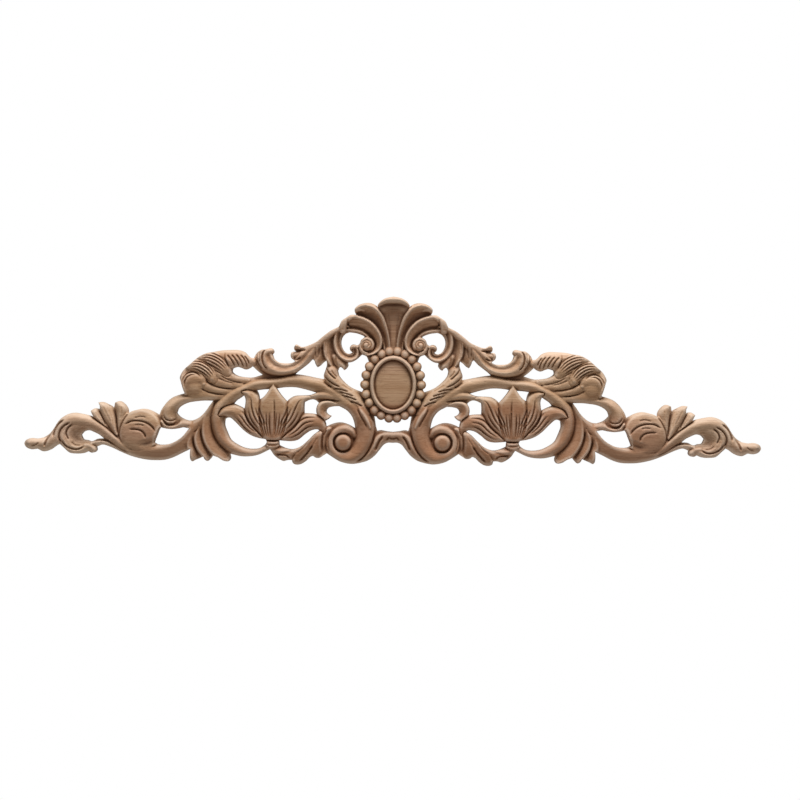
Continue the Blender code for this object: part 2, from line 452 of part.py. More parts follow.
def long_scroll():
    """The scroll in front of the arch, with the leaves that hang from it."""
    ribbon([(70, 49, 3, 11.4), (73.4, 43, 5.2, 12), (75.2, 35, 6.2, 12.4), (75.4, 28, 5, 12),
        (76, 21, 2.6, 10.6)], SLANT, edge=7)
    ribbon([(57, 56, 3, 12.6), (63, 50, 5, 14), (65.2, 41, 5.6, 14.4), (65, 32, 5.4, 14),
        (62.8, 25.4, 4, 12.8), (61, 20.2, 1.8, 10.8)], CRESCENT, edge=7)
    ribbon([(59, 29, 3.4, 11), (54, 23, 5, 12), (50, 18.8, 3, 11.4), (49, 16.4, 1.2, 10)], SOFT, edge=7)
    grooves([[(71.4, 45), (70.4, 37), (69.2, 29), (66, 24)]], 1.3, 3)
    grooves([[(67.6, 45), (68.4, 39), (68, 32), (65.6, 26)]], .8, 1.8)
    ribbon([(50, 58.4, 2.6, 14), (57, 56.2, 4, 14.6), (65, 51.6, 5.2, 15), (73, 45.6, 6.2, 15.2),
        (80.6, 38.4, 7, 15.2), (87, 30.4, 7.6, 15.2), (92.6, 23.6, 7, 15), (99.4, 18, 6.2, 15),
        (107, 15.8, 6.2, 15), (116, 16.6, 7.4, 15), (123.6, 20.2, 8.8, 15), (128.6, 26, 9, 14.8),
        (129, 31, 6.8, 14.2)], BROAD, edge=7)
    groove([(80, 37.6, .6, .4), (86, 31.8, 2, 1.6), (91.6, 25.6, 3.2, 2.6), (98.6, 20.2, 3.6, 3),
        (107, 17.8, 3.8, 3.2), (115.6, 18.8, 4.4, 3.4), (122, 22.8, 4.4, 3.4), (125, 29, 3.4, 3)])
    ribbon([(74, 45.6, 2.4, 14.6), (82, 41.4, 3, 15.2), (89, 38.4, 3.4, 15), (95, 38.2, 2.8, 14.8),
        (98.8, 39, 1.8, 14.4)], HIGH_L, edge=7.4)
    ribbon([(84, 33, 4, 12.4), (91, 31, 4.4, 12.8), (97, 30.4, 3.6, 12.6), (101, 30, 2.4, 12.8)], SOFT,
        edge=7.4)
    ribbon([(99.4, 33.4, 1.6, 13), (101.4, 30.6, 1.8, 13.8), (100.6, 27, 1.5, 13)], ROUND, edge=8)
    ribbon([(133, 27, 5.4, 14.4), (127.4, 33.4, 3.6, 14.4), (122, 34.4, 2.4, 13)], ROUND, edge=7)
    grooves([[(127.6, 35.8), (130.6, 32), (131.4, 26), (130, 20.6), (126, 16)], [(137, 31.6), (136.8, 26),
        (134.6, 20.6), (131, 16)]], 1.3, 3.6)
    grooves([[(99.4, 34.8), (94, 34.6), (88, 35.4)], [(100, 25.2), (96.4, 25.8), (92.6, 28)]], 1.3, 3.4)


def feathered_leaf():
    """The leaf that runs down beside the beads to the stem."""
    ribbon([(62, 14, 6.6, 12.6), (61, 7, 8, 13.8), (57, 1.4, 8, 14.6), (50.4, -4.4, 7.4, 15),
        (44, -9.4, 7.4, 15.2), (38, -14.8, 7.2, 15), (32.6, -21, 6, 14), (27, -28.6, 4.4, 12.6)], SOFT,
        edge=7)
    ribbon([(33.8, -21.8, 2, 14.6), (31.6, -25.8, 2.9, 16.6), (28, -31.2, 2.8, 17),
        (25, -36.8, 2.5, 16.8), (22.8, -42, 1.8, 15.8)], ROUND, edge=10.4)
    grooves([[(36, -23), (32.4, -30), (28.8, -36), (26, -42)]], 1.1, 2)


def wing_leaf():
    """The biggest leaf: a swelling body cut into bundles, a ball lobe, and ribs that run back to the arch."""
    ribbon([(141, 2, 5, 9), (158, -1, 9, 10.8), (174, -3, 11, 12.2), (190, -6, 9.5, 13.6),
        (203, -8.5, 6, 13.8)], SOFT, edge=7)
    ribbon([(140, 23, 3.4, 10.5), (147, 24.4, 7.6, 13), (155, 25.4, 9.8, 14.6), (163, 25, 10.8, 15),
        (172, 22.4, 12.6, 15), (181, 19.4, 13.8, 14.8), (190, 15.6, 14, 14.8), (198, 11.4, 13.2, 14.4),
        (205, 7, 10.2, 13.4)], SOFT, edge=6.5)
    for rib in ([(174, 11, 6, 14), (166, 7, 5.4, 13.2), (157, 4.8, 3.8, 12.6), (146, 4.4, 2, 11)],
            [(182, 5.6, 4.6, 15), (173, 2.4, 4.2, 13.8), (163, .2, 3.4, 12.8), (152, -.4, 2.2, 11.8)],
            [(190.6, .4, 3.8, 15.2), (181.6, -4, 3.8, 14), (172, -6.2, 3, 13), (162, -7, 2, 11.8)],
            [(200, -8, 5.4, 14.4), (188.6, -10, 4.4, 13.6), (178, -11.6, 3, 12.6),
            (169, -12.2, 2, 11.6)]):
        ribbon(rib, ROUND, edge=11.2, wall=2)
    leaflet = [(166, 12, 4.4, 13.6), (170, 17, 6.6, 15.4), (176.6, 22.4, 8.2, 16), (185, 26, 7.4, 16),
        (193.6, 26.6, 3.6, 14.4)]
    second = [(179.6, 4.4, 3.8, 14.8), (182.6, 9.4, 5.8, 16), (187.6, 14.6, 7.2, 16.6),
        (195.6, 18.6, 6.8, 16.6), (204.4, 18.6, 4, 15)]
    hood = [(190, 1.4, 3.6, 15), (193.4, 4.6, 6, 16.4), (200, 5.4, 8, 17), (206, 3, 7.4, 16.6),
        (208.6, -2.6, 5, 15.6), (207, -8, 3, 14)]
    for part in (leaflet, second, hood):
        ribbon(part, BUNDLE, edge=11, over=True)
    dome((199, -1.4), 11.2, 11.6, 16.4, SOFT, edge=11.6, wall=2.4)
    dome((181, 6), 4.2, 4.2, 15.8, SOFT, edge=12, wall=2.4)
    dome((189.6, .6), 3.6, 3.4, 15.8, SOFT, edge=12, wall=2.4)
    veins(leaflet, (-.62, -.26, .12, .46, .78), .1, .96, 1.0, 3)
    veins(second, (-.5, -.12, .28, .66), .1, .96, 1.0, 3.2)
    groove([(191.6, 6.4, .5, .4), (195.6, 10.8, 1.2, 3), (201.6, 12.4, 1.3, 3.4), (207.6, 9.6, 1.3, 3.4),
        (211, 3.6, 1.2, 3), (211, -3, .5, .6)])
    groove([(197, 9.4, .5, .4), (202.4, 9.6, 1.1, 2.8), (206.8, 6.4, 1.2, 3.2), (208.8, 1.6, 1.1, 2.8),
        (208.6, -3.6, .5, .4)])
    ribbon([(168, -8.6, 4, 12), (178, -12.4, 4, 12.4), (190, -13.2, 3.6, 12.5), (200, -14, 4, 12.6),
        (209, -15.4, 5, 13), (217, -19, 5.8, 13.4), (223, -25, 6.4, 13.6), (224.8, -31, 7, 13.6),
        (224, -36, 7, 13.4)], ROD, edge=6.5)
    ribbon([(194, -43, 4, 12.4), (205, -40, 4.2, 12.4), (212, -39.8, 4.4, 12.6), (217, -41, 3.6, 12.8),
        (223, -41.8, 3.6, 13), (228, -40.2, 3.2, 13), (231.4, -37.4, 2.2, 12.6)], SOFT, edge=7)
    groove([(212.6, -35, .8, 1.6), (216, -38.8, 2, 5.6), (221.4, -40.6, 2.1, 6), (227, -39.4, 2, 5.6),
        (231, -35, .8, 1.6)])
    groove([(168.8, 33, .5, .4), (168.6, 27, 1.2, 2.2), (166, 21, 1.2, 2.2), (162.6, 15, .5, .4)])
    grooves([[(151, 2), (158, 3.2), (166, 5.6), (173, 9.4)], [(161, -4), (170, -3.4), (179, -1.2),
        (187, 3.4)], [(169, -9.8), (178, -9), (187, -6.6), (193, -3.4)]], 1, 2.2)


def ball_curl():
    """A leaf rolled up to a dome, with crescent cuts."""
    ribbon([(236, -67, 5, 12.4), (246, -65, 7, 13), (256, -61, 8.4, 13.6), (266, -58, 8, 13.4)], SOFT,
        edge=6.5)
    dome((253.6, -46), 21.4, 20.6, 15.8, BALL, edge=11.4, wall=3)
    groove([(238.6, -53, 1, .6), (241.4, -57, 4, 3), (247, -59.4, 5, 3.4), (253.6, -60.6, 3.4, 1)])
    grooves([[(237.8, -47), (241, -42.4), (247, -38.4), (254.6, -36.6), (262, -37.2), (268, -40.4)]], 1.3,
        3.2)
    grooves([[(247, -54), (248.6, -49.4), (252.4, -46.2), (258, -45), (263.6, -45)]], 1.2, 3)


def three_leaves():
    """Three leaves that fan out of one joint."""
    ribbon([(274, -42, 3, 12.4), (272.6, -32, 5.4, 13), (272.2, -25, 6.6, 13), (275.6, -19.6, 3, 11.6)],
        SOFT, edge=7)
    ribbon([(276.4, -50, 3, 12.4), (281, -40, 5.4, 13), (286.6, -30, 7.2, 13.2), (291.4, -22.6, 5, 12.2),
        (294.6, -19.4, 2, 10.8)], SOFT, edge=7)
    ribbon([(287, -44, 3, 12), (294, -35, 5.4, 12.8), (299, -29.6, 4.6, 12), (302.4, -27.2, 1.8, 10.8)],
        SOFT, edge=7)
    grooves([[(263.6, -27.6), (269.6, -36), (273.4, -45), (274.2, -53), (271.4, -60), (266.6, -65)]], 1.2,
        2.6)
    grooves([[(275.4, -50), (276.6, -41), (277.4, -32), (279.4, -24)], [(287.4, -41.4), (290.4, -34.6),
        (294.6, -25.6)]], 1.1, 2.2)


def end_stem():
    """The stem that rolls over the end curl and tapers to a small paddle."""
    ribbon([(262, -67, 3, 11), (270, -62.6, 4.4, 12.4), (280, -54.4, 5.6, 13.2), (290, -46.6, 6.6, 13.8),
        (300, -40.8, 7.4, 14.2), (310, -37.8, 7.6, 14.4), (320, -37.4, 8.4, 14.4),
        (328, -41.4, 9.4, 14.4), (334, -49, 9.2, 14), (339, -56, 7.4, 13.6), (346, -60.4, 6.6, 13),
        (354, -60.6, 5.8, 12.4), (363, -60.2, 5.2, 11.6)], ROD, edge=6.5)
    ribbon([(312, -43, 4, 12.4), (320, -46.6, 5.6, 13), (323.4, -53, 5.6, 13), (320, -60, 5.4, 12.8),
        (312, -61.6, 4.4, 12.6), (304, -60.4, 3.4, 12)], BOWL, edge=7.5)
    ribbon([(326, -44, 4.4, 13.4), (330.6, -51, 4.6, 13.8), (328.4, -59.4, 5.4, 13.6),
        (321.4, -65, 5.2, 13.2), (312.4, -65.6, 4.4, 12.8), (304.6, -63.4, 3.6, 12.4),
        (300, -64.6, 3.6, 12)], SOFT, edge=7)
    ribbon([(308, -62, 3, 12.4), (303, -62.6, 3, 13), (299.4, -65.6, 3, 12.8), (299, -68.6, 1.6, 11)],
        ROUND, edge=7)
    grooves([[(274, -55), (283, -47), (292, -39.8), (302.6, -32.8)]], 1.2, 3)
    grooves([[(264, -69), (274, -64), (282, -59.4), (288.6, -56.2), (296, -56.6), (301, -58.4)]], 1.2,
        2.6)
    grooves([[(330, -36.4), (335.2, -41), (338.6, -47), (340, -53)], [(344, -51), (346.6, -56),
        (349, -62.6)]], 1.5, 4)
    grooves([[(323.4, -38.8), (329.4, -42.4), (333.4, -48), (334.4, -54), (332, -58.4)], [(332, -56),
        (328, -61.4), (321.4, -65), (314.6, -65.4), (309.4, -62.8)]], 1.4, 3.6)


def medallion():
    """The oval ground with its beads, ring and raised field."""
    dome((0, RISE), 30.3, 35.6, 9, LEVEL, edge=8.6, over=True)
    for place in bead_places():
        dome(place, BEAD, BEAD, 14.5, DOME, edge=9.2)
    dome((0, RISE), 23.6, 29.6, 15.6, lambda q: np.maximum(0, 1 - ((q - 0.9) / 0.1) ** 2) ** 0.5,
        edge=8.4, over=True)
    dome((0, RISE), 19.1, 25, 12.6, lambda q: 1 - 0.3 * q ** 2 - 0.6 * q ** 12, edge=9, over=True)


def soften(H, reach):
    """Blur the heights a little, as abrasive paper does to a sharp arris."""
    n = max(1, int(3 * reach))
    k = np.exp(-0.5 * (np.arange(-n, n + 1) / reach) ** 2)
    for axis in (0, 1):
        H = np.moveaxis(H, axis, 0)
        padded = np.pad(H, ((n, n), (0, 0)), mode="edge")
        H = np.moveaxis(sum(w * padded[m:m + len(H)] for m, w in enumerate(k / k.sum())), 0, axis)
    return H


def contours(F, u, v):
    """Where F crosses zero on the grid: closed loops of points, or chains that end on the centre line."""
    up = F > 0
    links = {}

    def crossing(i, j, k, l):
        a, b = F[i, j], F[k, l]
        t = a / (a - b)
        return (u[j] + t * (u[l] - u[j]), v[i] + t * (v[k] - v[i]))

    mixed = (up[:-1, :-1] != up[:-1, 1:]) | (up[:-1, :-1] != up[1:, :-1]) | (up[:-1, :-1] != up[1:, 1:])
    places = {}
    for i, j in zip(*np.nonzero(mixed)):
        corners = (i, j), (i, j + 1), (i + 1, j + 1), (i + 1, j)
        low, right, high, left = [tuple(sorted(s)) for s in zip(corners, corners[1:] + corners[:1])]
        sides = low, right, high, left
        cut = [s for s in sides if up[s[0]] != up[s[1]]]
        for s in cut:
            if s not in places:
                places[s] = crossing(*s[0], *s[1])
        if len(cut) == 2:
            pairs = [cut]
        else:
            middle = F[i, j] + F[i, j + 1] + F[i + 1, j] + F[i + 1, j + 1] > 0
            split = middle != up[i, j + 1]
            pairs = [(low, right), (high, left)] if split else [(low, left), (right, high)]
        for a, b in pairs:
            links.setdefault(a, []).append(b)
            links.setdefault(b, []).append(a)
    chains = []
    starts = [k for k, n in links.items() if len(n) == 1] + list(links)
    used = set()
    for start in starts:
        if start in used:
            continue
        chain, here, back = [start], start, None
        used.add(start)
        while True:
            onward = [n for n in links[here] if n != back and (n not in used or n == start)]
            if not onward:
                break
            back, here = here, onward[0]
            if here == start:
                chain.append(start)
                break
            used.add(here)
            chain.append(here)
        chains.append(np.array([places[k] for k in chain]))
    return chains


def thinned(chain, slack):
    """Keep only the points a chain needs to stay within slack of its true course."""
    keep = np.zeros(len(chain), bool)
    keep[[0, -1]] = True
    closed = np.allclose(chain[0], chain[-1])
    stack = [(0, len(chain) - 1)]
    if closed:
        far = int(np.argmax(np.hypot(*(chain - chain[0]).T)))
        keep[far] = True
        stack = [(0, far), (far, len(chain) - 1)]
    while stack:
        a, b = stack.pop()
        if b - a < 2:
            continue
        d = chain[b] - chain[a]
        run = chain[a + 1:b] - chain[a]
        length = max(1e-9, np.hypot(*d))
        off = np.abs(run[:, 0] * d[1] - run[:, 1] * d[0]) / length
        k = int(np.argmax(off))
        if off[k] > slack:
            keep[a + 1 + k] = True
            stack += [(a, a + 1 + k), (a + 1 + k, b)]
    return chain[keep]


def within(loops, points):
    """Even-odd test of points against a set of edges (pairs of end points)."""
    a, b = loops
    result = np.zeros(len(points), bool)
    for first in range(0, len(points), 4000):
        p = points[first:first + 4000]
        hit = (a[None, :, 1] > p[:, None, 1]) != (b[None, :, 1] > p[:, None, 1])
        with np.errstate(divide="ignore", invalid="ignore"):
            x = a[None, :, 0] + (p[:, None, 1] - a[None, :, 1]) * (b - a)[None, :, 0] / (b - a)[None, :,
                1]
        result[first:first + 4000] = (hit & (p[:, None, 0] < x)).sum(axis=1) % 2 == 1
    return result


def triangles(points, edges, loops):
    """Delaunay triangles that keep the given edges, inside the outline."""
    made = delaunay_2d_cdt([Vector(p) for p in points], [tuple(e) for e in edges], [], 0, 1e-6)
    own = [ids[0] if ids else -1 for ids in made[3]]
    faces = np.array([[own[k] for k in f] for f in made[2]])
    if len(made[0]) != len(points) or faces.min() < 0:
        raise RuntimeError("outline crosses itself: %d points became %d" % (len(points), len(made[0])))
    return faces[within(loops, points[faces].mean(axis=1))]


def sample(field, points):
    """Values of a grid field at points, between grid values."""
    x = np.clip((points[:, 0] - board.u[0]) / PITCH, 0, len(board.u) - 1.001)
    y = np.clip((points[:, 1] - board.v[0]) / PITCH, 0, len(board.v) - 1.001)
    j, i = x.astype(int), y.astype(int)
    s, t = x - j, y - i
    return (field[i, j] * (1 - s) * (1 - t) + field[i, j + 1] * s * (1 - t)
            + field[i + 1, j] * (1 - s) * t + field[i + 1, j + 1] * s * t)


def misfit(points, levels, faces):
    """For each triangle: how far the carving leaves it at worst, and the grid point where."""
    worst, where = np.zeros(len(faces)), np.zeros((len(faces), 2))
    for k, face in enumerate(faces):
        a, b, c = points[face]
        first = np.ceil((np.min([a, b, c], 0) - (board.u[0], board.v[0])) / PITCH).astype(int)
        last = ((np.max([a, b, c], 0) - (board.u[0], board.v[0])) / PITCH).astype(int)
        if (last < first).any():
            continue
        here = slice(first[1], last[1] + 1), slice(first[0], last[0] + 1)
        du, dv = board.U[here] - a[0], board.V[here] - a[1]
        area = (b[0] - a[0]) * (c[1] - a[1]) - (c[0] - a[0]) * (b[1] - a[1])
        to_b = (du * (c[1] - a[1]) - (c[0] - a[0]) * dv) / area
        to_c = ((b[0] - a[0]) * dv - du * (b[1] - a[1])) / area
        to_a = 1 - to_b - to_c
        plane = to_a * levels[face[0]] + to_b * levels[face[1]] + to_c * levels[face[2]]
        counted = (np.minimum(np.minimum(to_a, to_b), to_c) > 0.02) & (inwards[here] >= 0.8)
        off = np.where(counted, np.abs(heights[here] - plane), 0)
        at = int(np.argmax(off))
        worst[k], where[k] = off.flat[at], (board.U[here].flat[at], board.V[here].flat[at])
    return worst, where


def rim_and_centre():
    """Outline points and edges of the half, then the centre line's edges on the back and on the front."""
    points, edges, ends = [], [], []
    for chain in contours(inwards, board.u, board.v):
        if len(chain) <= 6:
            continue
        chain = thinned(chain, SLACK)
        closed = np.allclose(chain[0], chain[-1])
        chain = chain[:-1] if closed else chain
        first, last = len(points), len(points) + len(chain) - 1
        points += [tuple(p) for p in chain]
        edges += [(k, k + 1) for k in range(first, last)]
        if closed:
            edges.append((last, first))
        else:
            ends += [first, last]
    rim = np.array(points)
    rim[ends, 0] = 0.0
    ends.sort(key=lambda k: rim[k, 1])
    on_back, on_front, middle = list(zip(ends[::2], ends[1::2])), [], []
    for a, b in on_back:
        steps = max(1, int(round((rim[b, 1] - rim[a, 1]) / CENTRE_STEP)))
        added = [len(rim) + len(middle) + k for k in range(steps - 1)]
        middle += [(0.0, rim[a, 1] + (rim[b, 1] - rim[a, 1]) * k / steps) for k in range(1, steps)]
        on_front += list(zip([a] + added, added + [b]))
    return rim, edges, on_back, on_front, np.array(middle)


def half_surface():
    """Points and heights of the right half, how many are rim points, rim edges, front and back faces."""
    rim, edges, on_back, on_front, middle = rim_and_centre()
    ends = edges + on_back
    loops = rim[[a for a, b in ends]], rim[[b for a, b in ends]]
    back = triangles(rim, ends, loops)
    points = np.vstack([rim, middle])
    front = triangles(points, edges + on_front, loops)
    budget = (HALF_TRIANGLES - len(back) - 2 * len(edges) - len(front)) // 2
    for turn in range(ROUNDS):
        levels = np.where(np.arange(len(points)) < len(rim), EDGE, sample(heights, points))
        worst, where = misfit(points, levels, front)
        chosen = np.argsort(-worst)[:int(np.ceil(budget / (ROUNDS - turn)))]
        new = np.unique(where[chosen[worst[chosen] > 0.05]].round(6), axis=0)
        if not len(new):
            break
        points = np.vstack([points, new])
        budget -= len(new)
        front = triangles(points, edges + on_front, loops)
    levels = np.where(np.arange(len(points)) < len(rim), EDGE, sample(heights, points))
    print("half: rim", len(rim), "points", len(points), "front", len(front), "back", len(back),
          "misfit mean %.2f worst %.2f" % (worst.mean(), worst.max()))
    return points, levels, len(rim), edges, front, back


def solid(name, half, material):
    """Mirror the half and close it with a flat back and a wall round every edge."""
    points, levels, rim, edges, front, back = half
    bm = bmesh.new()
    shared = {}
    for sign in (1, -1):
        tops, feet = [], []
        for k, ((u, v), level) in enumerate(zip(points, levels)):
            if sign < 0 and k in shared:
                top, foot = shared[k]
            else:
                top = bm.verts.new((sign * u * UNIT, -level * UNIT, v * UNIT))
                foot = bm.verts.new((sign * u * UNIT, 0.0, v * UNIT)) if k < rim else None
            if abs(u) < 1e-9:
                shared[k] = top, foot
            tops.append(top)
            feet.append(foot)
        for face in front:
            bm.faces.new([tops[k] for k in face])
        for face in back:
            bm.faces.new([feet[k] for k in face])
        for a, b in edges:
            bm.faces.new((tops[a], feet[a], feet[b]))
            bm.faces.new((tops[a], feet[b], tops[b]))
    bmesh.ops.recalc_face_normals(bm, faces=bm.faces)
    if bm.calc_volume(signed=True) < 0:
        bmesh.ops.reverse_faces(bm, faces=bm.faces)
    mesh = bpy.data.meshes.new(name)
    bm.to_mesh(mesh)
    bm.free()
    mesh.materials.append(material)
    body = bpy.data.objects.new(name, mesh)
    bpy.context.scene.collection.objects.link(body)
    return body


def wood():
    """Bare sanded wood."""
    material = bpy.data.materials.new("wood")
    material.use_nodes = True
    shader = material.node_tree.nodes["Principled BSDF"]
    shader.inputs["Base Color"].default_value = (0.42, 0.27, 0.17, 1)
    shader.inputs["Roughness"].default_value = 0.62
    return material


for old in list(bpy.data.objects):
    bpy.data.objects.remove(old, do_unlink=True)

board = Board()
# low forms first, then what stands in front of them
for motif in (bridge, volute_and_stem, acanthus, curling_leaf, arch, outer_band, lotus, crest,
        ring_scroll, long_scroll, feathered_leaf, wing_leaf, ball_curl, three_leaves, end_stem,
        medallion):
    motif()
inwards = silhouette()
rounding = EDGE + 16 * (1 - (1 - np.clip(inwards / RIM, 0, 1)) ** 2) ** 0.5
heights = soften(np.minimum(np.maximum(board.H, EDGE), rounding), 0.7 / PITCH)
body = solid("carved_applique", half_surface(), wood())
print(body.name, "triangles", len(body.data.polygons), "size", [round(x, 4) for x in body.dimensions])
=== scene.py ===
# %% [markdown]
# # A pierced wood onlay
#
# This is the long, flat-backed carving that a joiner glues to a door, a bed head or a drawer front.
# A router roughs it out of one board and a carver finishes it by hand, so nothing on it is undercut:
# seen from the front, every point of the pattern has exactly one height over the back.
# That is why it is modelled here as heights on a squared pattern, and not as a heap of swept tubes.

import bmesh
import bpy
import numpy as np
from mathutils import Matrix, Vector
from mathutils.geometry import delaunay_2d_cdt


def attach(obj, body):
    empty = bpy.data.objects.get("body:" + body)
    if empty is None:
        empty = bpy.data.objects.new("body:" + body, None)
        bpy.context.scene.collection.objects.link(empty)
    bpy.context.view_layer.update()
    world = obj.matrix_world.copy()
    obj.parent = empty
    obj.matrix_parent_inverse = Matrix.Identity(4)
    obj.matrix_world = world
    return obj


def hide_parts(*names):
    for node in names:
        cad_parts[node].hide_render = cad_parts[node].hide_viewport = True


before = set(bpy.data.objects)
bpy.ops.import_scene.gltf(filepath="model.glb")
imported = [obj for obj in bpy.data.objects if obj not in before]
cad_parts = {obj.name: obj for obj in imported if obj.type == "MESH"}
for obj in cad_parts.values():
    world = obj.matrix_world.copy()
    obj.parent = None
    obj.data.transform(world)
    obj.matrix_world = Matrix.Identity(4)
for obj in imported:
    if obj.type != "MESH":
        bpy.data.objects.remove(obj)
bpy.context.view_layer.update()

# %% [markdown]
# ## The squared pattern
#
# Carvers enlarge a drawing square by square. The pattern here is 738.8 squares long, and the finished
# carving is 600 mm long, so one square is about 0.8 mm. Every number of the drawing is in squares:
# "out" from the centre line, "up" from a level line behind the medallion, and height over the back.

# %% Sizes
LENGTH = 0.600                 # overall length in metres
SQUARES = 738.8                # and in squares
UNIT = LENGTH / SQUARES        # one square of the pattern in metres
MM = UNIT * 1000               # and in millimetres
PITCH = 0.4                    # spacing of the heights that are worked out, in squares
OUT, LOWEST, TOP = 372, -84, 94    # how far the grid reaches out, down and up
EDGE = 7.0                     # height of the front's rim over the back
WALL = 3.5                     # slope of the step where one form stands over another
BEAD = 4.6                     # bead radius
BEAD_DEPTH = 0.8               # depth of a bead's dome against its radius
BEAD_LEVEL = 10.6              # height of the beads' centres over the back
BEADS = 22                     # beads round the medallion
BEAD_PATH = (28.4, 33.8)       # half width and half height of the oval they sit on
MEDALLION = (30.3, 35.6)       # half width and half height of the ground under them
RISE = 1.2                     # how far the medallion's middle stands above the pattern's level line
RIM, ROUNDED = 2.4, 16         # how far in from the outline the edge is rounded over, and how high
SANDED = 0.3                   # how far sanding eases the heights
CUT_STEP = 0.7                 # spacing of the points that a V cut is drawn with
SLACK = 0.03                   # how far the outline's straight edges may stray from the drawing
MISS_FINE, MISS_WIDE = 0.24, 0.09    # errors in height that call for a finer grid, in squares


def bead_places():
    """Centres of the beads in the right half."""
    turns = (np.arange(BEADS // 2) + 0.5) * 2 * np.pi / BEADS
    return np.column_stack([BEAD_PATH[0] * np.sin(turns), RISE + BEAD_PATH[1] * np.cos(turns)])


class Board:
    """Heights over the right half of the pattern; the left half is its mirror image."""

    def __init__(self):
        self.u = np.arange(0, OUT, PITCH)
        self.v = np.arange(LOWEST, TOP, PITCH)
        self.U, self.V = np.meshgrid(self.u, self.v)
        self.H = np.zeros(self.U.shape)

    def near(self, path, reach):
        """The part of the grid that a path can touch."""
        half = path[:, 2].max() + reach
        low, high = path[:, :2].min(0) - half, path[:, :2].max(0) + half
        rows = np.searchsorted(self.v, [low[1], high[1]])
        columns = np.searchsorted(self.u, [low[0], high[0]])
        return slice(*rows), slice(*columns)


board = Board()
print("grid", board.H.shape, "one square", round(MM, 3), "mm")

# %% [markdown]
# ## Ribbons, domes and grooves
#
# A scroll or a leaf is a ribbon: a smooth curve through a few points, each with its own half width
# and crest height, and a cross section that says how the wood rises and falls between the two edges.
# Past its edge a ribbon drops away steeply, so where two of them cross, the higher one stands over
# the lower with a clean step, as a gouge leaves it. A dome is round or oval, and a groove is one V cut.

# %% A smooth curve through points
def smooth(rows, step=1.0):
    """Centripetal curve through rows of (out, up, half width, height)."""
    p = np.array(rows, float)
    q = np.vstack([2 * p[0] - p[1], p, 2 * p[-1] - p[-2]])
    parts = []
    for a, b, c, d in zip(q, q[1:], q[2:], q[3:]):
        ab, bc, cd = (max(1e-6, np.hypot(*(y - x)[:2])) ** 0.5 for x, y in ((a, b), (b, c), (c, d)))
        leave = (c - b) + bc * ((b - a) / ab - (c - a) / (ab + bc))
        arrive = (c - b) + bc * ((d - c) / cd - (d - b) / (bc + cd))
        t = np.linspace(0, 1, max(2, int(bc ** 2 / step) + 1), endpoint=False)[:, None]
        parts.append((2 * t ** 3 - 3 * t ** 2 + 1) * b + (t ** 3 - 2 * t ** 2 + t) * leave
                     + (3 * t ** 2 - 2 * t ** 3) * c + (t ** 3 - t ** 2) * arrive)
    path = np.vstack(parts + [p[-1:]])
    path[:, 2] = np.maximum(path[:, 2], 0.05)
    return path


def around(U, V, path):
    """For each grid point: distance outside the ribbon, share of its half width (left is +), its height."""
    best, share, height = np.full(U.shape, 1e9), np.zeros(U.shape), np.zeros(U.shape)
    for a, b in zip(path[:-1], path[1:]):
        du, dv = (b - a)[:2]
        if du * du + dv * dv < 1e-12:
            continue
        t = np.clip(((U - a[0]) * du + (V - a[1]) * dv) / (du * du + dv * dv), 0, 1)
        off_u, off_v = U - a[0] - t * du, V - a[1] - t * dv
        off, half = np.hypot(off_u, off_v), a[2] + (b[2] - a[2]) * t
        nearer = off - half < best
        side = np.where(du * off_v >= dv * off_u, 1, -1)
        best = np.where(nearer, off - half, best)
        share = np.where(nearer, side * off / half, share)
        height = np.where(nearer, a[3] + (b[3] - a[3]) * t, height)
    return best, np.clip(share, -1, 1), height


# %% Cross sections
STEPS, EASE = 200, 30          # samples of half a section, and how many of them ease a corner
KEPT = 0.06                    # share of the half width over which the two edges stay as given


def section(*pairs):
    """A cross section from (share of half width, share of height) pairs, with its corners eased."""
    x = np.linspace(-1, 1, 2 * STEPS + 1)
    y = np.interp(x, *zip(*pairs))
    ease = np.hanning(2 * EASE + 1)
    eased = np.convolve(np.pad(y, EASE, mode="edge"), ease / ease.sum(), "valid")
    keep = np.minimum(1, (1 - np.abs(x)) / KEPT)
    return lambda share: np.interp(share, x, eased * keep + y * (1 - keep))


ROUND = lambda x: (1 - x ** 2) ** 0.5
SOFT = lambda x: (1 - x ** 2) ** 0.8
FLAT = lambda x: (1 - x ** 4) ** 0.5
LEAF = section((-1, .0), (-.8, .6), (-.45, .85), (0, 1), (.45, .85), (.8, .6), (1, 0))
HIGH_L = section((-1, 0), (-.7, .45), (-.2, .8), (.35, 1), (.75, .85), (1, .1))
STEM = section((-1, .1), (-.75, .45), (-.4, .75), (0, .95), (.3, 1), (.6, .88), (.85, .6), (1, .2))
ROD = section((-1, .1), (-.75, .5), (-.35, .85), (.05, 1), (.4, .95), (.75, .62), (1, .15))
LOBE = section((-1, .1), (-.7, .45), (-.2, .72), (.3, .95), (.6, 1), (.85, .75), (1, .2))
PETAL = section((-1, 0), (-.85, .62), (-.5, .88), (0, 1), (.5, .88), (.85, .62), (1, 0))
SLANT = section((-1, .1), (-.6, .35), (-.1, .7), (.4, .95), (.75, 1), (1, .3))
BUNDLE = section((-1, .1), (-.8, .6), (-.4, .9), (0, 1), (.5, .9), (.8, .7), (1, .35))
BOWL = section((-1, 0), (-.7, .1), (-.3, .4), (.1, .8), (.5, 1), (.8, .9), (1, .5))
BROAD = section((-1, .2), (-.8, .65), (-.5, .95), (-.1, 1), (.4, .97), (.75, .85), (1, .4))
CRESCENT = section((-1, 0), (-.5, .1), (0, .45), (.4, .8), (.72, 1), (.9, .8), (1, .3))
FROND = section((-1, 0), (-.7, .02), (-.3, .15), (.1, .45), (.4, .8), (.62, 1), (.82, .95), (1, .3))
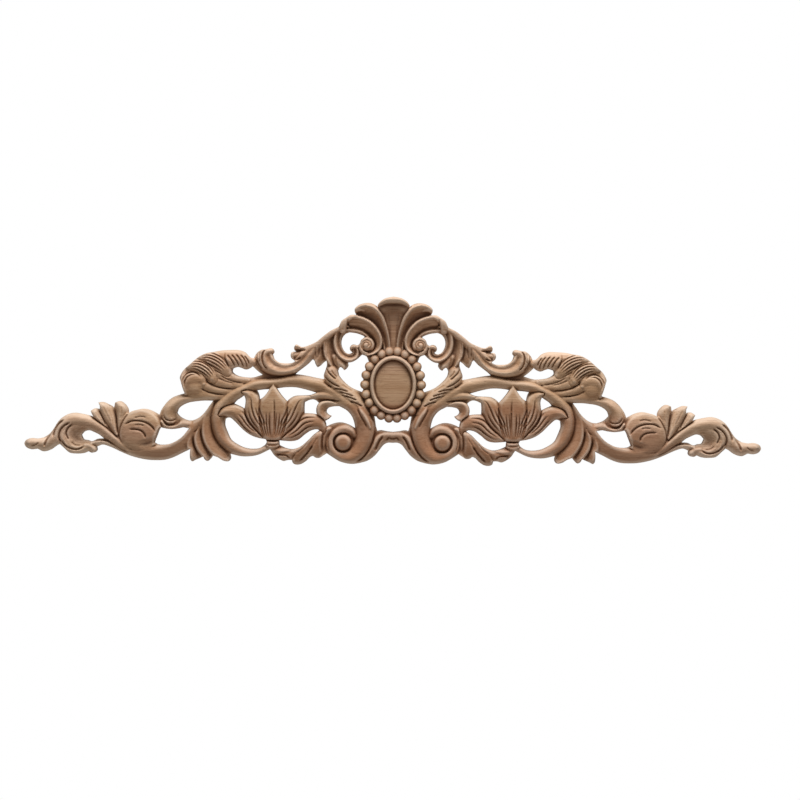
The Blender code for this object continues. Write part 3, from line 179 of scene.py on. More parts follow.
CHANNEL = section((-1, .3), (-.86, .95), (-.7, 1), (-.45, .72), (-.1, .55), (.2, .28), (.4, 0), (.58, 0),
    (.76, .5), (.9, .55), (1, .2))
RING = section((-1, .25), (-.8, .62), (-.6, .35), (-.35, .2), (0, .55), (.35, .9), (.65, 1), (.85, .75),
    (1, .3))
FAN = section((-1, .9), (-.6, .55), (-.3, .3), (0, .2), (.3, .3), (.6, .55), (1, .9))
BALL = lambda q: np.maximum(0, 1 - q ** 2.6) ** 0.6
DOME = lambda q: (1 - q * q) ** 0.5
BUTTON = lambda q: np.maximum(0, 1 - q ** 4) ** 0.6
LEVEL = lambda q: 1 - 0 * q
BEADING = lambda q: np.maximum(0, 1 - ((q - 0.9) / 0.1) ** 2) ** 0.5
FIELD = lambda q: 1 - 0.3 * q ** 2 - 0.6 * q ** 12

# %% Ribbon, dome and groove
def ribbon(rows, across=ROUND, edge=EDGE, over=False, wall=WALL):
    """Lay a ribbon on the board; over=True covers what is there, instead of joining it."""
    path = smooth(rows)
    here = board.near(path, 8)
    outside, share, crest = around(board.U[here], board.V[here], path)
    foot = np.minimum(edge, crest)
    within = foot + (crest - foot) * across(share)
    ground = board.H[here]
    board.H[here] = np.where(outside <= 0, within if over else np.maximum(ground, within),
                             np.maximum(ground, foot - wall * outside))


def dome(centre, a, b, crest, shape, edge=EDGE, over=False, wall=WALL):
    """A round or oval form; shape is read from its middle (0) to its rim (1)."""
    q = np.hypot((board.U - centre[0]) / a, (board.V - centre[1]) / b)
    within = edge + (crest - edge) * shape(np.minimum(q, 1))
    board.H = np.where(q <= 1, within if over else np.maximum(board.H, within),
                       np.maximum(board.H, edge - wall * (q - 1) * min(a, b)))


def cut(path):
    """Take one V cut along a path out of the board."""
    here = board.near(path, 1)
    outside, share, depth = around(board.U[here], board.V[here], path)
    board.H[here] -= np.where(outside <= 0, depth * (1 - np.abs(share)), 0)


def groove(rows):
    """One V cut through rows of (out, up, half width, depth)."""
    cut(smooth(rows, CUT_STEP))


def grooves(lines, width=1.2, depth=2.2):
    """V cuts that start and end in a point."""
    for line in lines:
        path = smooth([(a, b, 1, 1) for a, b in line], CUT_STEP)
        full = np.minimum(1, 2.4 * np.sin(np.pi * np.linspace(0.04, 0.96, len(path))))
        path[:, 2:] = np.column_stack([width * (0.3 + 0.7 * full), depth * full])
        cut(path)


def veins(rows, shares, start, end, width, depth):
    """V cuts along a ribbon, at shares of its half width; start and end are shares of its length."""
    path = smooth(rows)
    way = np.gradient(path[:, :2], axis=0)
    left = np.column_stack([-way[:, 1], way[:, 0]]) / np.hypot(*way.T)[:, None]
    far = np.linspace(0, 1, len(path))
    kept = (far >= start) & (far <= end)
    taper = np.sin(np.pi * (far - start) / (end - start))[kept, None] ** 0.6
    for share in shares:
        line = (path[:, :2] + left * path[:, 2:3] * share)[kept]
        cut(np.hstack([line, width * (0.35 + 0.65 * taper), depth * taper]))


def tell(motif):
    """Say how high the carving stands by now."""
    print("%s: highest so far %.1f mm" % (motif, board.H.max() * MM))


# %% [markdown]
# ## The outline
#
# The router cuts the outer edge and the windows right through the board before any carving starts.
# Each run below is one smooth stroke of the pencil that starts where the one before it ended, and a
# corner stands between two runs. Where a line would cross the centre it is closed 6 squares beyond it.
# The result is a map of how far every grid point lies inside the wood, negative in the air.

# %% Outer edge and windows
OUTER = [
    [(-6, -57)], [(-6, 89.7)], [(0, 89.7)],
    [(8, 88), (13, 85), (16, 81), (15.8, 79)],
    [(18, 81), (23, 83), (29, 83), (35, 81), (39, 77), (39, 74)],
    [(38.3, 72.6), (37.4, 71)],
    [(43, 71), (48, 68), (52, 65), (54, 61), (55, 59)],
    [(63, 55), (71, 49), (77, 44), (83, 41), (88, 39)],
    [(92, 38.5), (95, 40), (97.5, 41), (99.5, 38.5), (99, 35), (97, 33.8)],
    [(99.5, 33.8), (102, 33), (103, 30), (102, 27), (100, 25.5), (98.5, 24.2)],
    [(101, 22.6), (105, 22), (110, 22), (115, 23), (119, 26), (121, 31)],
    [(119.5, 33), (120, 35.5), (122, 37), (126, 36.5), (128.7, 35.8)],
    [(132, 35.5), (136, 33), (138.3, 30), (139.7, 27)],
    [(143, 27.5), (146, 30), (149, 33), (155, 35), (163, 35), (172, 34.5), (180, 33), (188, 31.5),
        (195, 28), (200, 24), (205, 19.5)],
    [(209, 16), (212, 12), (214, 7), (213, 3), (211, -4), (209, -8.8)],
    [(215, -10.5), (221, -13), (226, -17), (230, -22), (232.5, -26), (234.2, -30.5)],
    [(237, -29), (243, -26), (250, -24.5), (258, -26), (262, -27.2), (265.3, -29)],
    [(265.4, -26), (266.6, -23), (270, -19), (274, -17), (278.8, -18.5)],
    [(279.2, -21), (279.6, -23.8)],
    [(282, -22), (285, -20.5), (291, -18), (295.6, -18.5)],
    [(294.6, -20.5), (294, -22.5), (294.2, -25.4)],
    [(296.5, -24.6), (299, -24.5), (303.2, -27)],
    [(302, -30), (300.4, -33)],
    [(305, -31.5), (312, -30), (320, -29), (327, -31), (333, -35), (337, -40), (340, -45),
        (344.5, -50.5), (350, -54)],
    [(357, -55.2), (363, -54.8), (368, -57), (369.4, -60.5), (367, -64.2), (362, -66), (356, -65.4)],
    [(350, -68), (343, -66), (337, -61.8), (334, -60.4)],
    [(330, -64), (324, -69), (317, -70), (310, -69.5), (305, -67.5)],
    [(302, -69), (298, -68), (296.5, -66), (297, -62.8)],
    [(291, -60.8), (283, -63), (272, -68), (262, -72), (250, -75), (240, -76), (228, -75.5),
        (220, -73), (212, -69), (203, -64.5)],
    [(203.4, -70), (202.8, -75), (201, -77), (198, -75.5), (193, -73.5), (190, -72)],
    [(188.5, -75), (185.5, -76.5), (182.5, -74), (180.3, -71)],
    [(175, -73), (170, -76), (164.6, -76.6), (162.3, -73.5), (163, -69)],
    [(152, -71.5), (143, -71.5), (135, -70), (127, -66.3), (123, -64.2)],
    [(121, -67), (119, -70), (114, -74), (109, -76), (105, -75), (101, -75)],
    [(100, -78), (97, -79.5), (92, -79), (87, -76), (83, -72), (80, -70.6)],
    [(77, -72.5), (73, -72.5), (70, -70.5), (66, -68)],
    [(60, -72), (53, -76), (46, -78), (40, -78.5), (33, -77.5)],
    [(25, -75), (18, -70), (13, -64), (9, -59), (5, -57), (0, -57)],
]
WINDOWS = [
    # window under the medallion (one half)
    [[(-6, -46)], [(-6, -34)], [(0, -34)], [(10, -32), (18.6, -30.5)], [(17.6, -36), (17, -40),
     (15.6, -45)], [(12, -44.3), (6, -45.4), (0, -46)]],
    # between the beads, the ring and the feathered leaf
    [[(27, 29.5), (24.5, 24)], [(29, 12), (29, 0), (31, -6.2)], [(37, -4), (43, -1), (49, 4), (54, 10),
     (55.3, 15)], [(53.4, 18.6), (51, 17.6), (49.2, 15.5)], [(47, 17), (45, 20), (45.4, 23.2)], [(41, 24),
     (36, 27), (31.5, 31.3)]],
    # inside the ring scroll
    [[(36, 52.4), (29, 49), (32.4, 46), (34, 42), (36.3, 40.4)], [(39, 41.4), (41.6, 41), (43.6, 38.5),
     (43.3, 35.5), (41, 33.4)], [(44, 32), (47.5, 33), (50.4, 36.5), (52.2, 42), (51.2, 48), (48, 52),
     (44, 53.6)]],
    # between the S scroll, the drooping leaf and the arch
    [[(94, 15), (90, 18), (85, 22), (81, 26.3)], [(79.2, 25), (78, 21.5), (76, 18.3)], [(73, 20),
     (70, 23), (67, 25.2)], [(66.5, 21), (68, 15.5), (69.6, 10.5), (69.2, 6.4)], [(78, 8), (88, 10),
     (98, 11.4)]],
    # under the wing leaf
    [[(134.5, 13), (138, 16), (141, 19)], [(144, 16.8), (148, 15.5), (152, 17), (156, 18), (160.6, 16.6)],
     [(161.2, 13.5), (159, 11), (155, 9), (150, 8), (141, 7.6), (131, 10.4)]],
    # between the arch and the lotus
    [[(108, -2), (98, -2), (88, -4), (77, -7.2)], [(83, -9.5), (91, -10), (98, -10.5), (103, -13),
     (106.3, -16)], [(110, -12), (114, -7), (116.4, -3.2)]],
    [[(130, -4.4), (136.4, -5.2)], [(134.6, -9), (133.6, -14.4)], [(130, -12), (126.6, -8), (124, -4)]],
    [[(156.4, -15.2), (153, -13), (149.4, -10.4)], [(148, -14), (148.2, -20), (149, -23.6)],
     [(153, -21.4), (159.4, -18.6)]],
    [[(84, -14.6), (80, -14), (77, -15), (74.4, -17.4)], [(76.4, -21), (77, -25), (76.4, -29)],
     [(80, -28.2), (88.6, -27.8)], [(88.8, -22), (88.5, -16.8)]],
    # above the volute
    [[(67, -38), (67.8, -35.4)], [(64.5, -33.6), (61.4, -30.4)], [(65, -28.6), (66.6, -26), (65, -22.6),
     (60, -21), (54, -20.6)], [(46, -25), (41, -31), (38.5, -38), (37.8, -42.5)], [(44, -39), (50, -37),
     (56, -37), (62, -38.8), (66.6, -41)]],
    # either side of the lotus stalk
    [[(108, -55.8), (101, -56), (95, -54.6), (88, -49), (82, -45.2), (76, -44), (73.6, -45)], [(79, -49),
     (85, -55), (92, -61), (100, -64), (107, -63), (113.4, -60.2)], [(114, -55.2)]],
    [[(166, -33), (163, -33), (157, -38), (150, -45), (143, -50), (135, -53), (127.6, -54.2)],
     [(126.4, -57), (128, -60)], [(133, -63), (140, -64), (148, -63), (155, -60), (162, -55), (166, -47),
     (168.4, -40), (168, -34)]],
    # between the wing's stem and the outer band
    [[(215, -24), (211, -20.6), (205, -18), (198, -16.8), (190, -16), (180.4, -16)], [(184, -21),
     (189, -28), (194.5, -33), (200, -35.6), (205, -36)], [(210, -34.2), (214, -31.6), (216.6, -28.6)]],
    [[(236, -60), (230, -60.5), (222, -59), (212, -53), (204.4, -44)], [(210, -43), (216, -44.2),
     (222, -44.8), (228, -44.2), (233, -43)], [(234.6, -46), (236, -50), (238, -55), (239, -58.2)]],
    # inside the end curl
    [[(309, -47.5), (304, -46.6), (300, -48), (294, -51), (289.6, -54.6)], [(296, -55), (300, -57),
     (303, -57.6)], [(306, -56.4), (310, -55.6), (312.4, -51)]],
]


def polygon(runs):
    """One closed line; each run starts where the one before it ends."""
    starts = [run[-1:] for run in runs[-1:] + runs[:-1]]
    return np.vstack([smooth([(a, b, 1, 1) for a, b in start + run])[:-1, :2]
                      for start, run in zip(starts, runs)])


def filled(line):
    """Which grid points lie inside a closed line."""
    inner = np.zeros(board.U.shape, bool)
    a, b = line, np.roll(line, -1, axis=0)
    for row, y in enumerate(board.v):
        hit = (a[:, 1] > y) != (b[:, 1] > y)
        at = np.sort(a[hit, 0] + (y - a[hit, 1]) * (b - a)[hit, 0] / (b - a)[hit, 1])
        inner[row] = np.searchsorted(at, board.u) % 2 == 1
    return inner


def from_line(line, reach=4.0):
    """Distance of grid points from a closed line, up to a reach."""
    away = np.full(board.U.shape, reach)
    for a, b in zip(line, np.roll(line, -1, axis=0)):
        du, dv = b - a
        here = board.near(np.column_stack([[a, b], [0, 0]]), reach)
        off_u, off_v = board.U[here] - a[0], board.V[here] - a[1]
        t = np.clip((off_u * du + off_v * dv) / (du * du + dv * dv), 0, 1)
        away[here] = np.minimum(away[here], np.hypot(off_u - t * du, off_v - t * dv))
    return away


def inside(runs):
    """How far each grid point lies inside the line through the runs, negative outside it."""
    line = polygon(runs)
    return np.where(filled(line), 1, -1) * from_line(line)


def silhouette():
    """How far each grid point lies inside the wood."""
    inwards = inside(OUTER)
    for runs in WINDOWS:
        inwards = np.minimum(inwards, -inside(runs))
    oval = (1 - np.hypot(board.U / MEDALLION[0], (board.V - RISE) / MEDALLION[1])) * min(MEDALLION)
    inwards = np.maximum(inwards, oval)
    for u, v in bead_places():
        inwards = np.maximum(inwards, BEAD - np.hypot(board.U - u, board.V - v))
    return inwards


inwards = silhouette()
print("wood covers %.0f %% of the pattern" % (100 * (inwards > 0).mean()))

# %% [markdown]
# ## The carving, motif by motif
#
# The order is the carver's: low forms first, then what stands in front of them.

# %% [markdown]
# ### The bridge below the medallion
#
# A shallow arch carries the medallion and runs out into both volutes. It is one board with everything
# else; a groove marks where the volute's band passes over it.

# %% Bridge
ribbon([(-2, -51.5, 5.8, 12.5), (0, -51.5, 5.8, 12.5), (6, -51.6, 6, 12.5), (12, -54, 6.6, 12.5),
    (17, -61, 5.8, 12.2), (22, -68, 4.6, 11.6), (28, -73.5, 3.4, 10.6), (34, -76, 2, 9)], HIGH_L,
    edge=6.5)
grooves([[(10, -50.5), (13, -54.6), (15.6, -60), (17.4, -64.6)]], 1.8, 3.4)
grooves([[(6.5, -54.6), (4, -51.8), (1.6, -52.6), (-1.6, -52.6), (-4, -51.8), (-6.5, -54.6)]], 1.1, 2.4)
tell("Bridge")

# %% [markdown]
# ### The volute and its stem
#
# The stem starts inside the coil, wraps once round the button and climbs to the side under the
# medallion. Its section is a flat band with a raised outer bead, so the coil reads as a line of light.
# The button is turned over with a small gouge, in a sunk ring.

# %% Volute
ribbon([(38.6, -50, 3, 10.5), (42, -46.4, 4.6, 12), (49, -45, 6, 13), (56.6, -48.6, 6.2, 13),
    (60.6, -56, 6.4, 13.2), (58.6, -64.4, 6.8, 13.6), (51.4, -69.8, 7.4, 14), (42, -70.6, 8, 14.6),
    (34.4, -65, 8.6, 15), (30, -57, 9, 15.2), (28, -48, 9.6, 15.2), (28.6, -39.4, 10, 15),
    (34, -31, 9.4, 14.8), (41, -23.6, 8.6, 14.4), (48.5, -17.4, 8, 14), (56, -11.4, 7.4, 13.4),
    (65, -5.6, 6.4, 12.8), (74, -1.6, 5.4, 12)], STEM, edge=6.5)
grooves([[(18.4, -48), (19.8, -56), (24, -65), (30.4, -72.4), (37, -76.4)]], 1.2, 2.6)
dome((49.8, -57), 10.2, 10.2, 8.4, LEVEL, edge=8.4, over=True)
dome((49.8, -57), 8.6, 8.6, 15.4, BUTTON, edge=8, over=True, wall=6)
grooves([[(55.6, -41), (61, -45), (64.4, -51.6), (65, -59), (63.4, -66)]], 0.9, 2.2)
tell("Volute")

# %% [markdown]
# ### Acanthus under the lotus
#
# Three leaflets turn outward from the volute, and a thin one reaches for the stalk of the lotus. The
# carver stabs the eyes between them first and then rounds each leaflet down to its neighbour.

# %% Acanthus
ribbon([(64, -45, 4, 12), (70, -50, 6.4, 12.8), (74.6, -57, 9, 13.4), (78, -63, 9.2, 13),
    (82, -66.6, 7.6, 12), (84.6, -69, 6, 11)], HIGH_L, edge=6.5)
ribbon([(76, -50, 4, 12.4), (82, -57, 6.6, 13.4), (88, -64, 8.6, 13.6), (93, -69.6, 8.6, 13),
    (96.6, -74, 6, 11.6)], HIGH_L, edge=6.5)
ribbon([(90, -60, 3, 12.4), (96, -65.4, 5.4, 13.2), (103, -68.6, 6, 13.2), (109, -70.4, 5.4, 12.4),
    (112, -71, 4, 11.4)], SOFT, edge=6.5)
ribbon([(97, -63.6, 3, 12), (105, -65.6, 3.8, 13), (112, -66.2, 4, 12.8), (119, -64.8, 3.4, 11.6)], SOFT,
    edge=6.5)
grooves([[(80.6, -60.4), (84.6, -66.6), (89, -71.6), (93, -75.6)], [(69, -46.4), (70.6, -53), (71, -60),
    (70, -68)]], 1.5, 3.4)
grooves([[(116.4, -69.4), (111, -69.9), (106, -70.6), (102.4, -73.6)]], 1.1, 2.8)
grooves([[(75, -52), (79, -58), (82, -64)], [(86, -58), (91, -63.6), (96, -67.6)], [(97.6, -69),
    (100, -72), (101, -75)]], 0.9, 1.4)
tell("Acanthus")

# %% [markdown]
# ### The leaf that curls under the arch
#
# A short leaf hooks back toward the volute. It sits low, so that the arch throws its shadow on it.

# %% Curled leaf
ribbon([(56, -12, 4, 12), (66, -9.8, 5, 12.6), (76, -9.8, 3.8, 12.4), (83, -11.4, 2.2, 11.6),
    (88, -13.4, 1, 11)], SOFT, edge=7.5)
ribbon([(57, -19, 1.8, 11.4), (64, -17.8, 3, 12.6), (70.4, -20, 4.8, 13.2), (72.4, -25.6, 5, 13.2),
    (69.6, -30.4, 4.8, 12.4), (65.4, -31.8, 3.2, 11.6), (62.4, -30.4, 1.4, 10.6)], HIGH_L, edge=7.5)
grooves([[(53, -15.6), (61, -14.8), (69, -14.9), (76, -17)]], 1.2, 3)
tell("Curled leaf")

# %% [markdown]
# ### The arch
#
# One long stem springs from the feathered leaf, spans the lotus and comes back to its stalk. Its crown
# is nearer the upper edge, which catches a studio lamp all along it.

# %% Arch
ribbon([(68, -2.4, 6.6, 12.4), (76, 0, 7.4, 13.2), (85, 2, 7.4, 13.6), (94, 4, 7, 13.6),
    (103, 4.2, 6.3, 13.5), (112, 2.8, 5.6, 13.2), (122, 1.6, 5.3, 13.2), (132, .8, 5.4, 13.4),
    (141, -1, 5.6, 13.6), (150, -5, 6.2, 14), (160, -10.5, 6.6, 14.2), (168, -17, 6.8, 14.2),
    (174, -25, 6.8, 14.2), (176, -34, 6.8, 14.2), (174.6, -44, 7, 14), (170.5, -53, 6.9, 13.8),
    (163, -60.5, 6.5, 13.5), (153, -65.5, 5.7, 13), (143, -67.5, 4.6, 12.5), (134, -66, 3.7, 11.8),
    (126, -62.5, 2.8, 11)], ROD, edge=6.5)
tell("Arch")

# %% [markdown]
# ### The outer band and its hanging lobes
#
# The band carries the pattern out to the end. Three lobes hang from it like fingers, parted by deep V
# cuts.

# %% Outer band
ribbon([(181, -17, 2.2, 13), (186, -29, 5, 13.5), (193, -40, 7.6, 13.6), (203, -51, 10, 13.8),
    (214, -60.5, 11, 13.8), (227, -67, 9, 13.4), (240, -68.5, 7.4, 13), (252, -69, 5.8, 12.6),
    (264, -68, 3.8, 12), (274, -64.5, 2.6, 11.5), (285, -60, 2.4, 11.3), (294, -59, 2.8, 11.5),
    (301, -60, 3, 11.4)], HIGH_L, edge=6.5)
ribbon([(184.6, -24, 2.4, 12.8), (187, -36, 4.6, 13.6), (187, -46, 5.6, 14), (184.6, -56, 6.6, 14),
    (178.6, -65, 7.2, 13.6), (170.6, -71.4, 5.6, 12.4), (165, -75, 2.4, 11)], LOBE)
ribbon([(194, -44, 2.6, 13.2), (195.4, -54, 4.4, 14), (192.4, -63.6, 5, 13.8), (187.6, -70.6, 4.2, 12.6),
    (185, -75.4, 2, 11)], LOBE)
ribbon([(201.6, -52, 2.4, 13.2), (203, -60, 4.2, 13.6), (200.6, -68, 4.8, 13), (199.4, -73.6, 3.4, 11.8),
    (200.6, -76.2, 1.8, 10.6)], LOBE)
groove([(192, -41, .5, .3), (192, -49, 1.3, 2.2), (189.8, -57.6, 1.6, 3.4), (185.6, -65.6, 1.8, 4),
    (181, -71.4, 2, 4.6)])
groove([(200, -49, .5, .3), (200, -56.6, 1.3, 2.2), (197.6, -64.6, 1.6, 3.4), (192.4, -72.4, 2, 4.4)])
grooves([[(193.4, -40.6), (196.4, -45.6), (199.4, -48)]], 0.9, 1.8)
tell("Outer band")

# %% [markdown]
# ### The lotus
#
# The petals are laid from the back to the front: two far ones, two near ones, and the broad one in the
# middle. Each later one covers what lies below it, which is how the carver sets them in too.

# %% Lotus
far_right = [(127, -53.4, 3, 12.4), (137, -48, 5.4, 13), (146, -40, 7.4, 13.6), (153, -31, 8.6, 13.6),
    (160.5, -26.5, 7, 14.4), (168.5, -26.8, 4.8, 15), (174, -30.4, 1.4, 14)]
far_left = [(114, -53.4, 3, 12.4), (105, -51, 5, 13), (97, -46, 7.4, 13.6), (88, -38, 9.3, 13.6),
    (79, -36.5, 8, 13.2), (72.3, -39.5, 5.6, 12.4), (69.2, -45, 2.6, 11), (69, -49, 1, 9.6)]
near_right = [(124.6, -53, 4, 13.4), (131, -43, 6.5, 14.6), (138, -32, 9, 15.2), (141, -22, 8.6, 15.2),
    (142, -14, 7.6, 14.8), (145.6, -8.6, 4.2, 15), (150.8, -7, 1.3, 14)]
near_left = [(116.4, -53, 4, 13.4), (109.5, -43, 6.5, 14.6), (102, -32, 9, 15.2), (97.6, -22, 9.2, 15.2),
    (94, -16, 6.6, 14.6), (87.5, -12.4, 2.8, 13), (82, -12.1, 0.9, 11.6)]
middle = [(120.5, -54, 7, 14), (120.4, -47, 10.6, 15.4), (120.3, -39, 13.2, 16.4), (120, -30, 14.4, 17),
    (119.8, -22, 14.2, 17), (119.4, -14, 10.8, 16.6), (119.9, -7, 5.4, 15.8), (120, -3, 2.6, 15),
    (120, 0, 0.7, 14.4)]
for petal in (far_right, far_left, near_right, near_left):
    ribbon(petal, LEAF, edge=8, over=True)
ribbon(middle, PETAL, edge=10.4, over=True)
veins(far_right, (-.5, 0, .5), .2, .66, 1.1, 3)
veins(far_left, (.5, 0, -.5), .16, .7, 1.1, 3)
for petal, side in ((near_right, 1), (near_left, -1)):
    veins(petal, (-.05 * side,), .2, .84, 1.1, 3.2)
    veins(petal, (-.5 * side, .36 * side, .72 * side), .2, .6, 1.1, 3)
for shares, start, end in (((-.86, -.66, .66, .86), .04, .4), ((-.46, -.24, .24, .46), .03, .5)):
    veins(middle, shares, start, end, 1, 3)
groove([(119.2, -12, .4, .3), (118.6, -20, .9, 2.2), (118.4, -30, 1, 2.6), (118.6, -42, .9, 2.2),
    (119.4, -50, .4, .4)])
ribbon([(127, -57, 2, 12.5), (123.5, -58, 2.6, 13.8), (117, -58, 2.6, 13.8), (113.6, -57, 2, 12.5)],
    ROUND, over=True)
ribbon([(126, -60.4, 1.6, 12.5), (122.5, -61.6, 2.4, 13.6), (118, -61.6, 2.4, 13.6),
    (115, -60.4, 1.6, 12.5)], ROUND)
grooves([[(110, -53.6), (114.6, -55.2), (120, -55.7), (125.6, -55.2), (130, -53.6)]], 1.1, 3.4)
tell("Lotus")

# %% [markdown]
# ### The crest
#
# A fan opens at the top, between two fronds on each side that turn outward. The fan is scooped with a
# wide gouge and its rim is left as a raised lip. The lower frond starts in a small spiral.

# %% Crest
ribbon([(0, 30, 9, 9.6), (0, 50, 11, 10.6), (0, 60, 13, 11.4), (0, 70, 16, 12.8), (0, 80, 20, 15)], FAN,
    edge=8.6)
ribbon([(-17.4, 79.4, 1.8, 18), (-13, 83, 3.2, 20.6), (-8, 85.6, 4, 22), (0, 86.4, 4.2, 22),
    (8, 85.6, 4, 22), (13, 83, 3.2, 20.6), (17.4, 79.4, 1.8, 18)], ROUND, edge=10, over=True, wall=6)
ribbon([(5, 34, 2.6, 12), (7, 48, 3.2, 14), (10.6, 58, 4.6, 16), (15.4, 67, 6.4, 17.6),
    (21.6, 73, 7.8, 18.6), (28.4, 75, 8, 18.6), (34.4, 74.4, 5.8, 17.6), (37.8, 73.6, 2.4, 16)], FROND,
    edge=8, over=True)
ribbon([(39, 74.4, 2, 15.6), (36.4, 76.6, 3, 17.2), (32.4, 76.8, 2.6, 16.4), (29.4, 75.2, 1.2, 14)],
    ROUND, edge=9)
ribbon([(55, 58, 4, 13.5), (51, 61.6, 6.4, 16), (43, 62.6, 8.4, 16.8), (36, 62, 8.6, 17),
    (28, 59, 8.2, 16.8), (21.4, 53.4, 7.4, 16.6), (17, 46, 6.2, 16), (16.4, 39, 4.6, 15.4),
    (20, 34.6, 3.2, 14.8), (25, 32.6, 2.4, 14.4), (29.4, 33, 2.2, 14)], CHANNEL)
ribbon([(37, 69.6, 1.6, 16.4), (43, 68.4, 3, 17), (48.4, 65, 4, 17.4), (50.8, 60.4, 4.6, 16.8),
    (51, 56, 4, 15)], FLAT, edge=8, wall=5)
groove([(45.6, 67, .4, .4), (45.7, 64, 1.1, 3), (45.8, 60, 1.3, 3.6), (46, 57, .6, 1.6)])
dome((26.8, 40.8), 7.4, 7.2, 11.4, LEVEL, edge=11.4, over=True)
ribbon([(27, 32.8, 2, 14), (31.6, 35.2, 2.2, 14.2), (33.4, 39.6, 1.9, 14.2), (31.6, 44.6, 1.9, 14.2),
    (27, 47, 2, 14.2), (22.4, 45, 2, 14.2), (20.6, 40.6, 1.8, 14.2), (22, 36.8, 1.6, 14)], ROUND, edge=9,
    wall=5)
dome((26.8, 40.6), 5.3, 5.3, 15.8, DOME, edge=11, wall=5)
grooves([[(20.6, 37.8), (23.4, 34.9), (27.4, 34.3), (30.4, 36.2)]], 1.2, 3.4)
grooves([[(3, 44), (3.4, 58), (5.4, 74)], [(-3, 44), (-3.4, 58), (-5.4, 74)]], 1.4, .6)
turns = np.radians(np.arange(200, 640, 42))
coil = [(26.8 + (4.6 - .3 * k) * np.cos(a), 40.6 + (4.6 - .3 * k) * np.sin(a))
        for k, a in enumerate(turns)]
grooves([coil], .9, 2.2)
tell("Crest")

# %% [markdown]
# ### The ring scroll
#
# A C-shaped stem almost closes on itself between the crest and the long scroll, and ends in a small
# hook.

# %% Ring scroll
ribbon([(47, 58, 3, 13), (53.5, 54.6, 4, 13.4), (56.2, 47, 4.1, 13.6), (55.6, 38, 4.2, 13.6),
    (51, 30.6, 4.3, 13.6), (44, 27.7, 4.3, 13.4), (38.6, 29.6, 3.8, 13), (37.2, 34, 3, 12.8),
    (38, 37.6, 2.4, 13)], RING, edge=6.5)
ribbon([(36, 38.8, 1.6, 13), (39.6, 39.2, 1.9, 13.8), (42.8, 37.9, 1.5, 13)], ROUND, edge=8)
tell("Ring scroll")

# %% [markdown]
# ### The long S-scroll
#
# Two drooping leaves come first, and then the scroll in front of them. A scoop runs down the middle of
# it, so that it shows two bright edges with a shadow between them.

# %% S-scroll
ribbon([(70, 49, 3, 11.4), (73.4, 43, 5.2, 12), (75.2, 35, 6.2, 12.4), (75.4, 28, 5, 12),
    (76, 21, 2.6, 10.6)], SLANT)
ribbon([(57, 56, 3, 12.6), (63, 50, 5, 14), (65.2, 41, 5.6, 14.4), (65, 32, 5.4, 14),
    (62.8, 25.4, 4, 12.8), (61, 20.2, 1.8, 10.8)], CRESCENT)
ribbon([(59, 29, 3.4, 11), (54, 23, 5, 12), (50, 18.8, 3, 11.4), (49, 16.4, 1.2, 10)], SOFT)
grooves([[(71.4, 45), (70.4, 37), (69.2, 29), (66, 24)]], 1.3, 3)
grooves([[(67.6, 45), (68.4, 39), (68, 32), (65.6, 26)]], .8, 1.8)
ribbon([(50, 58.4, 2.6, 14), (57, 56.2, 4, 14.6), (65, 51.6, 5.2, 15), (73, 45.6, 6.2, 15.2),
    (80.6, 38.4, 7, 15.2), (87, 30.4, 7.6, 15.2), (92.6, 23.6, 7, 15), (99.4, 18, 6.2, 15),
    (107, 15.8, 6.2, 15), (116, 16.6, 7.4, 15), (123.6, 20.2, 8.8, 15), (128.6, 26, 9, 14.8),
    (129, 31, 6.8, 14.2)], BROAD)
groove([(80, 37.6, .6, .4), (86, 31.8, 2, 1.6), (91.6, 25.6, 3.2, 2.6), (98.6, 20.2, 3.6, 3),
    (107, 17.8, 3.8, 3.2), (115.6, 18.8, 4.4, 3.4), (122, 22.8, 4.4, 3.4), (125, 29, 3.4, 3)])
ribbon([(74, 45.6, 2.4, 14.6), (82, 41.4, 3, 15.2), (89, 38.4, 3.4, 15), (95, 38.2, 2.8, 14.8),
    (98.8, 39, 1.8, 14.4)], HIGH_L, edge=7.4)
ribbon([(84, 33, 4, 12.4), (91, 31, 4.4, 12.8), (97, 30.4, 3.6, 12.6), (101, 30, 2.4, 12.8)], SOFT,
    edge=7.4)
ribbon([(99.4, 33.4, 1.6, 13), (101.4, 30.6, 1.8, 13.8), (100.6, 27, 1.5, 13)], ROUND, edge=8)
ribbon([(133, 27, 5.4, 14.4), (127.4, 33.4, 3.6, 14.4), (122, 34.4, 2.4, 13)], ROUND)
grooves([[(127.6, 35.8), (130.6, 32), (131.4, 26), (130, 20.6), (126, 16)], [(137, 31.6), (136.8, 26),
    (134.6, 20.6), (131, 16)]], 1.3, 3.6)
grooves([[(99.4, 34.8), (94, 34.6), (88, 35.4)], [(100, 25.2), (96.4, 25.8), (92.6, 28)]], 1.3, 3.4)
grooves([[(74, 40), (74.6, 33), (76, 27)], [(78, 38), (78, 31), (77.6, 25)], [(57.4, 29), (57.6, 24.6),
    (56, 20)]], 1, 1.6)
grooves([[(133.8, 33.6), (134.6, 28), (133.4, 22.6)]], 0.9, 1.6)
tell("S-scroll")

# %% [markdown]
# ### The feathered leaf
#
# The leaf runs down beside the beads to the stem. Fine V cuts at a slant make it look like a feather.

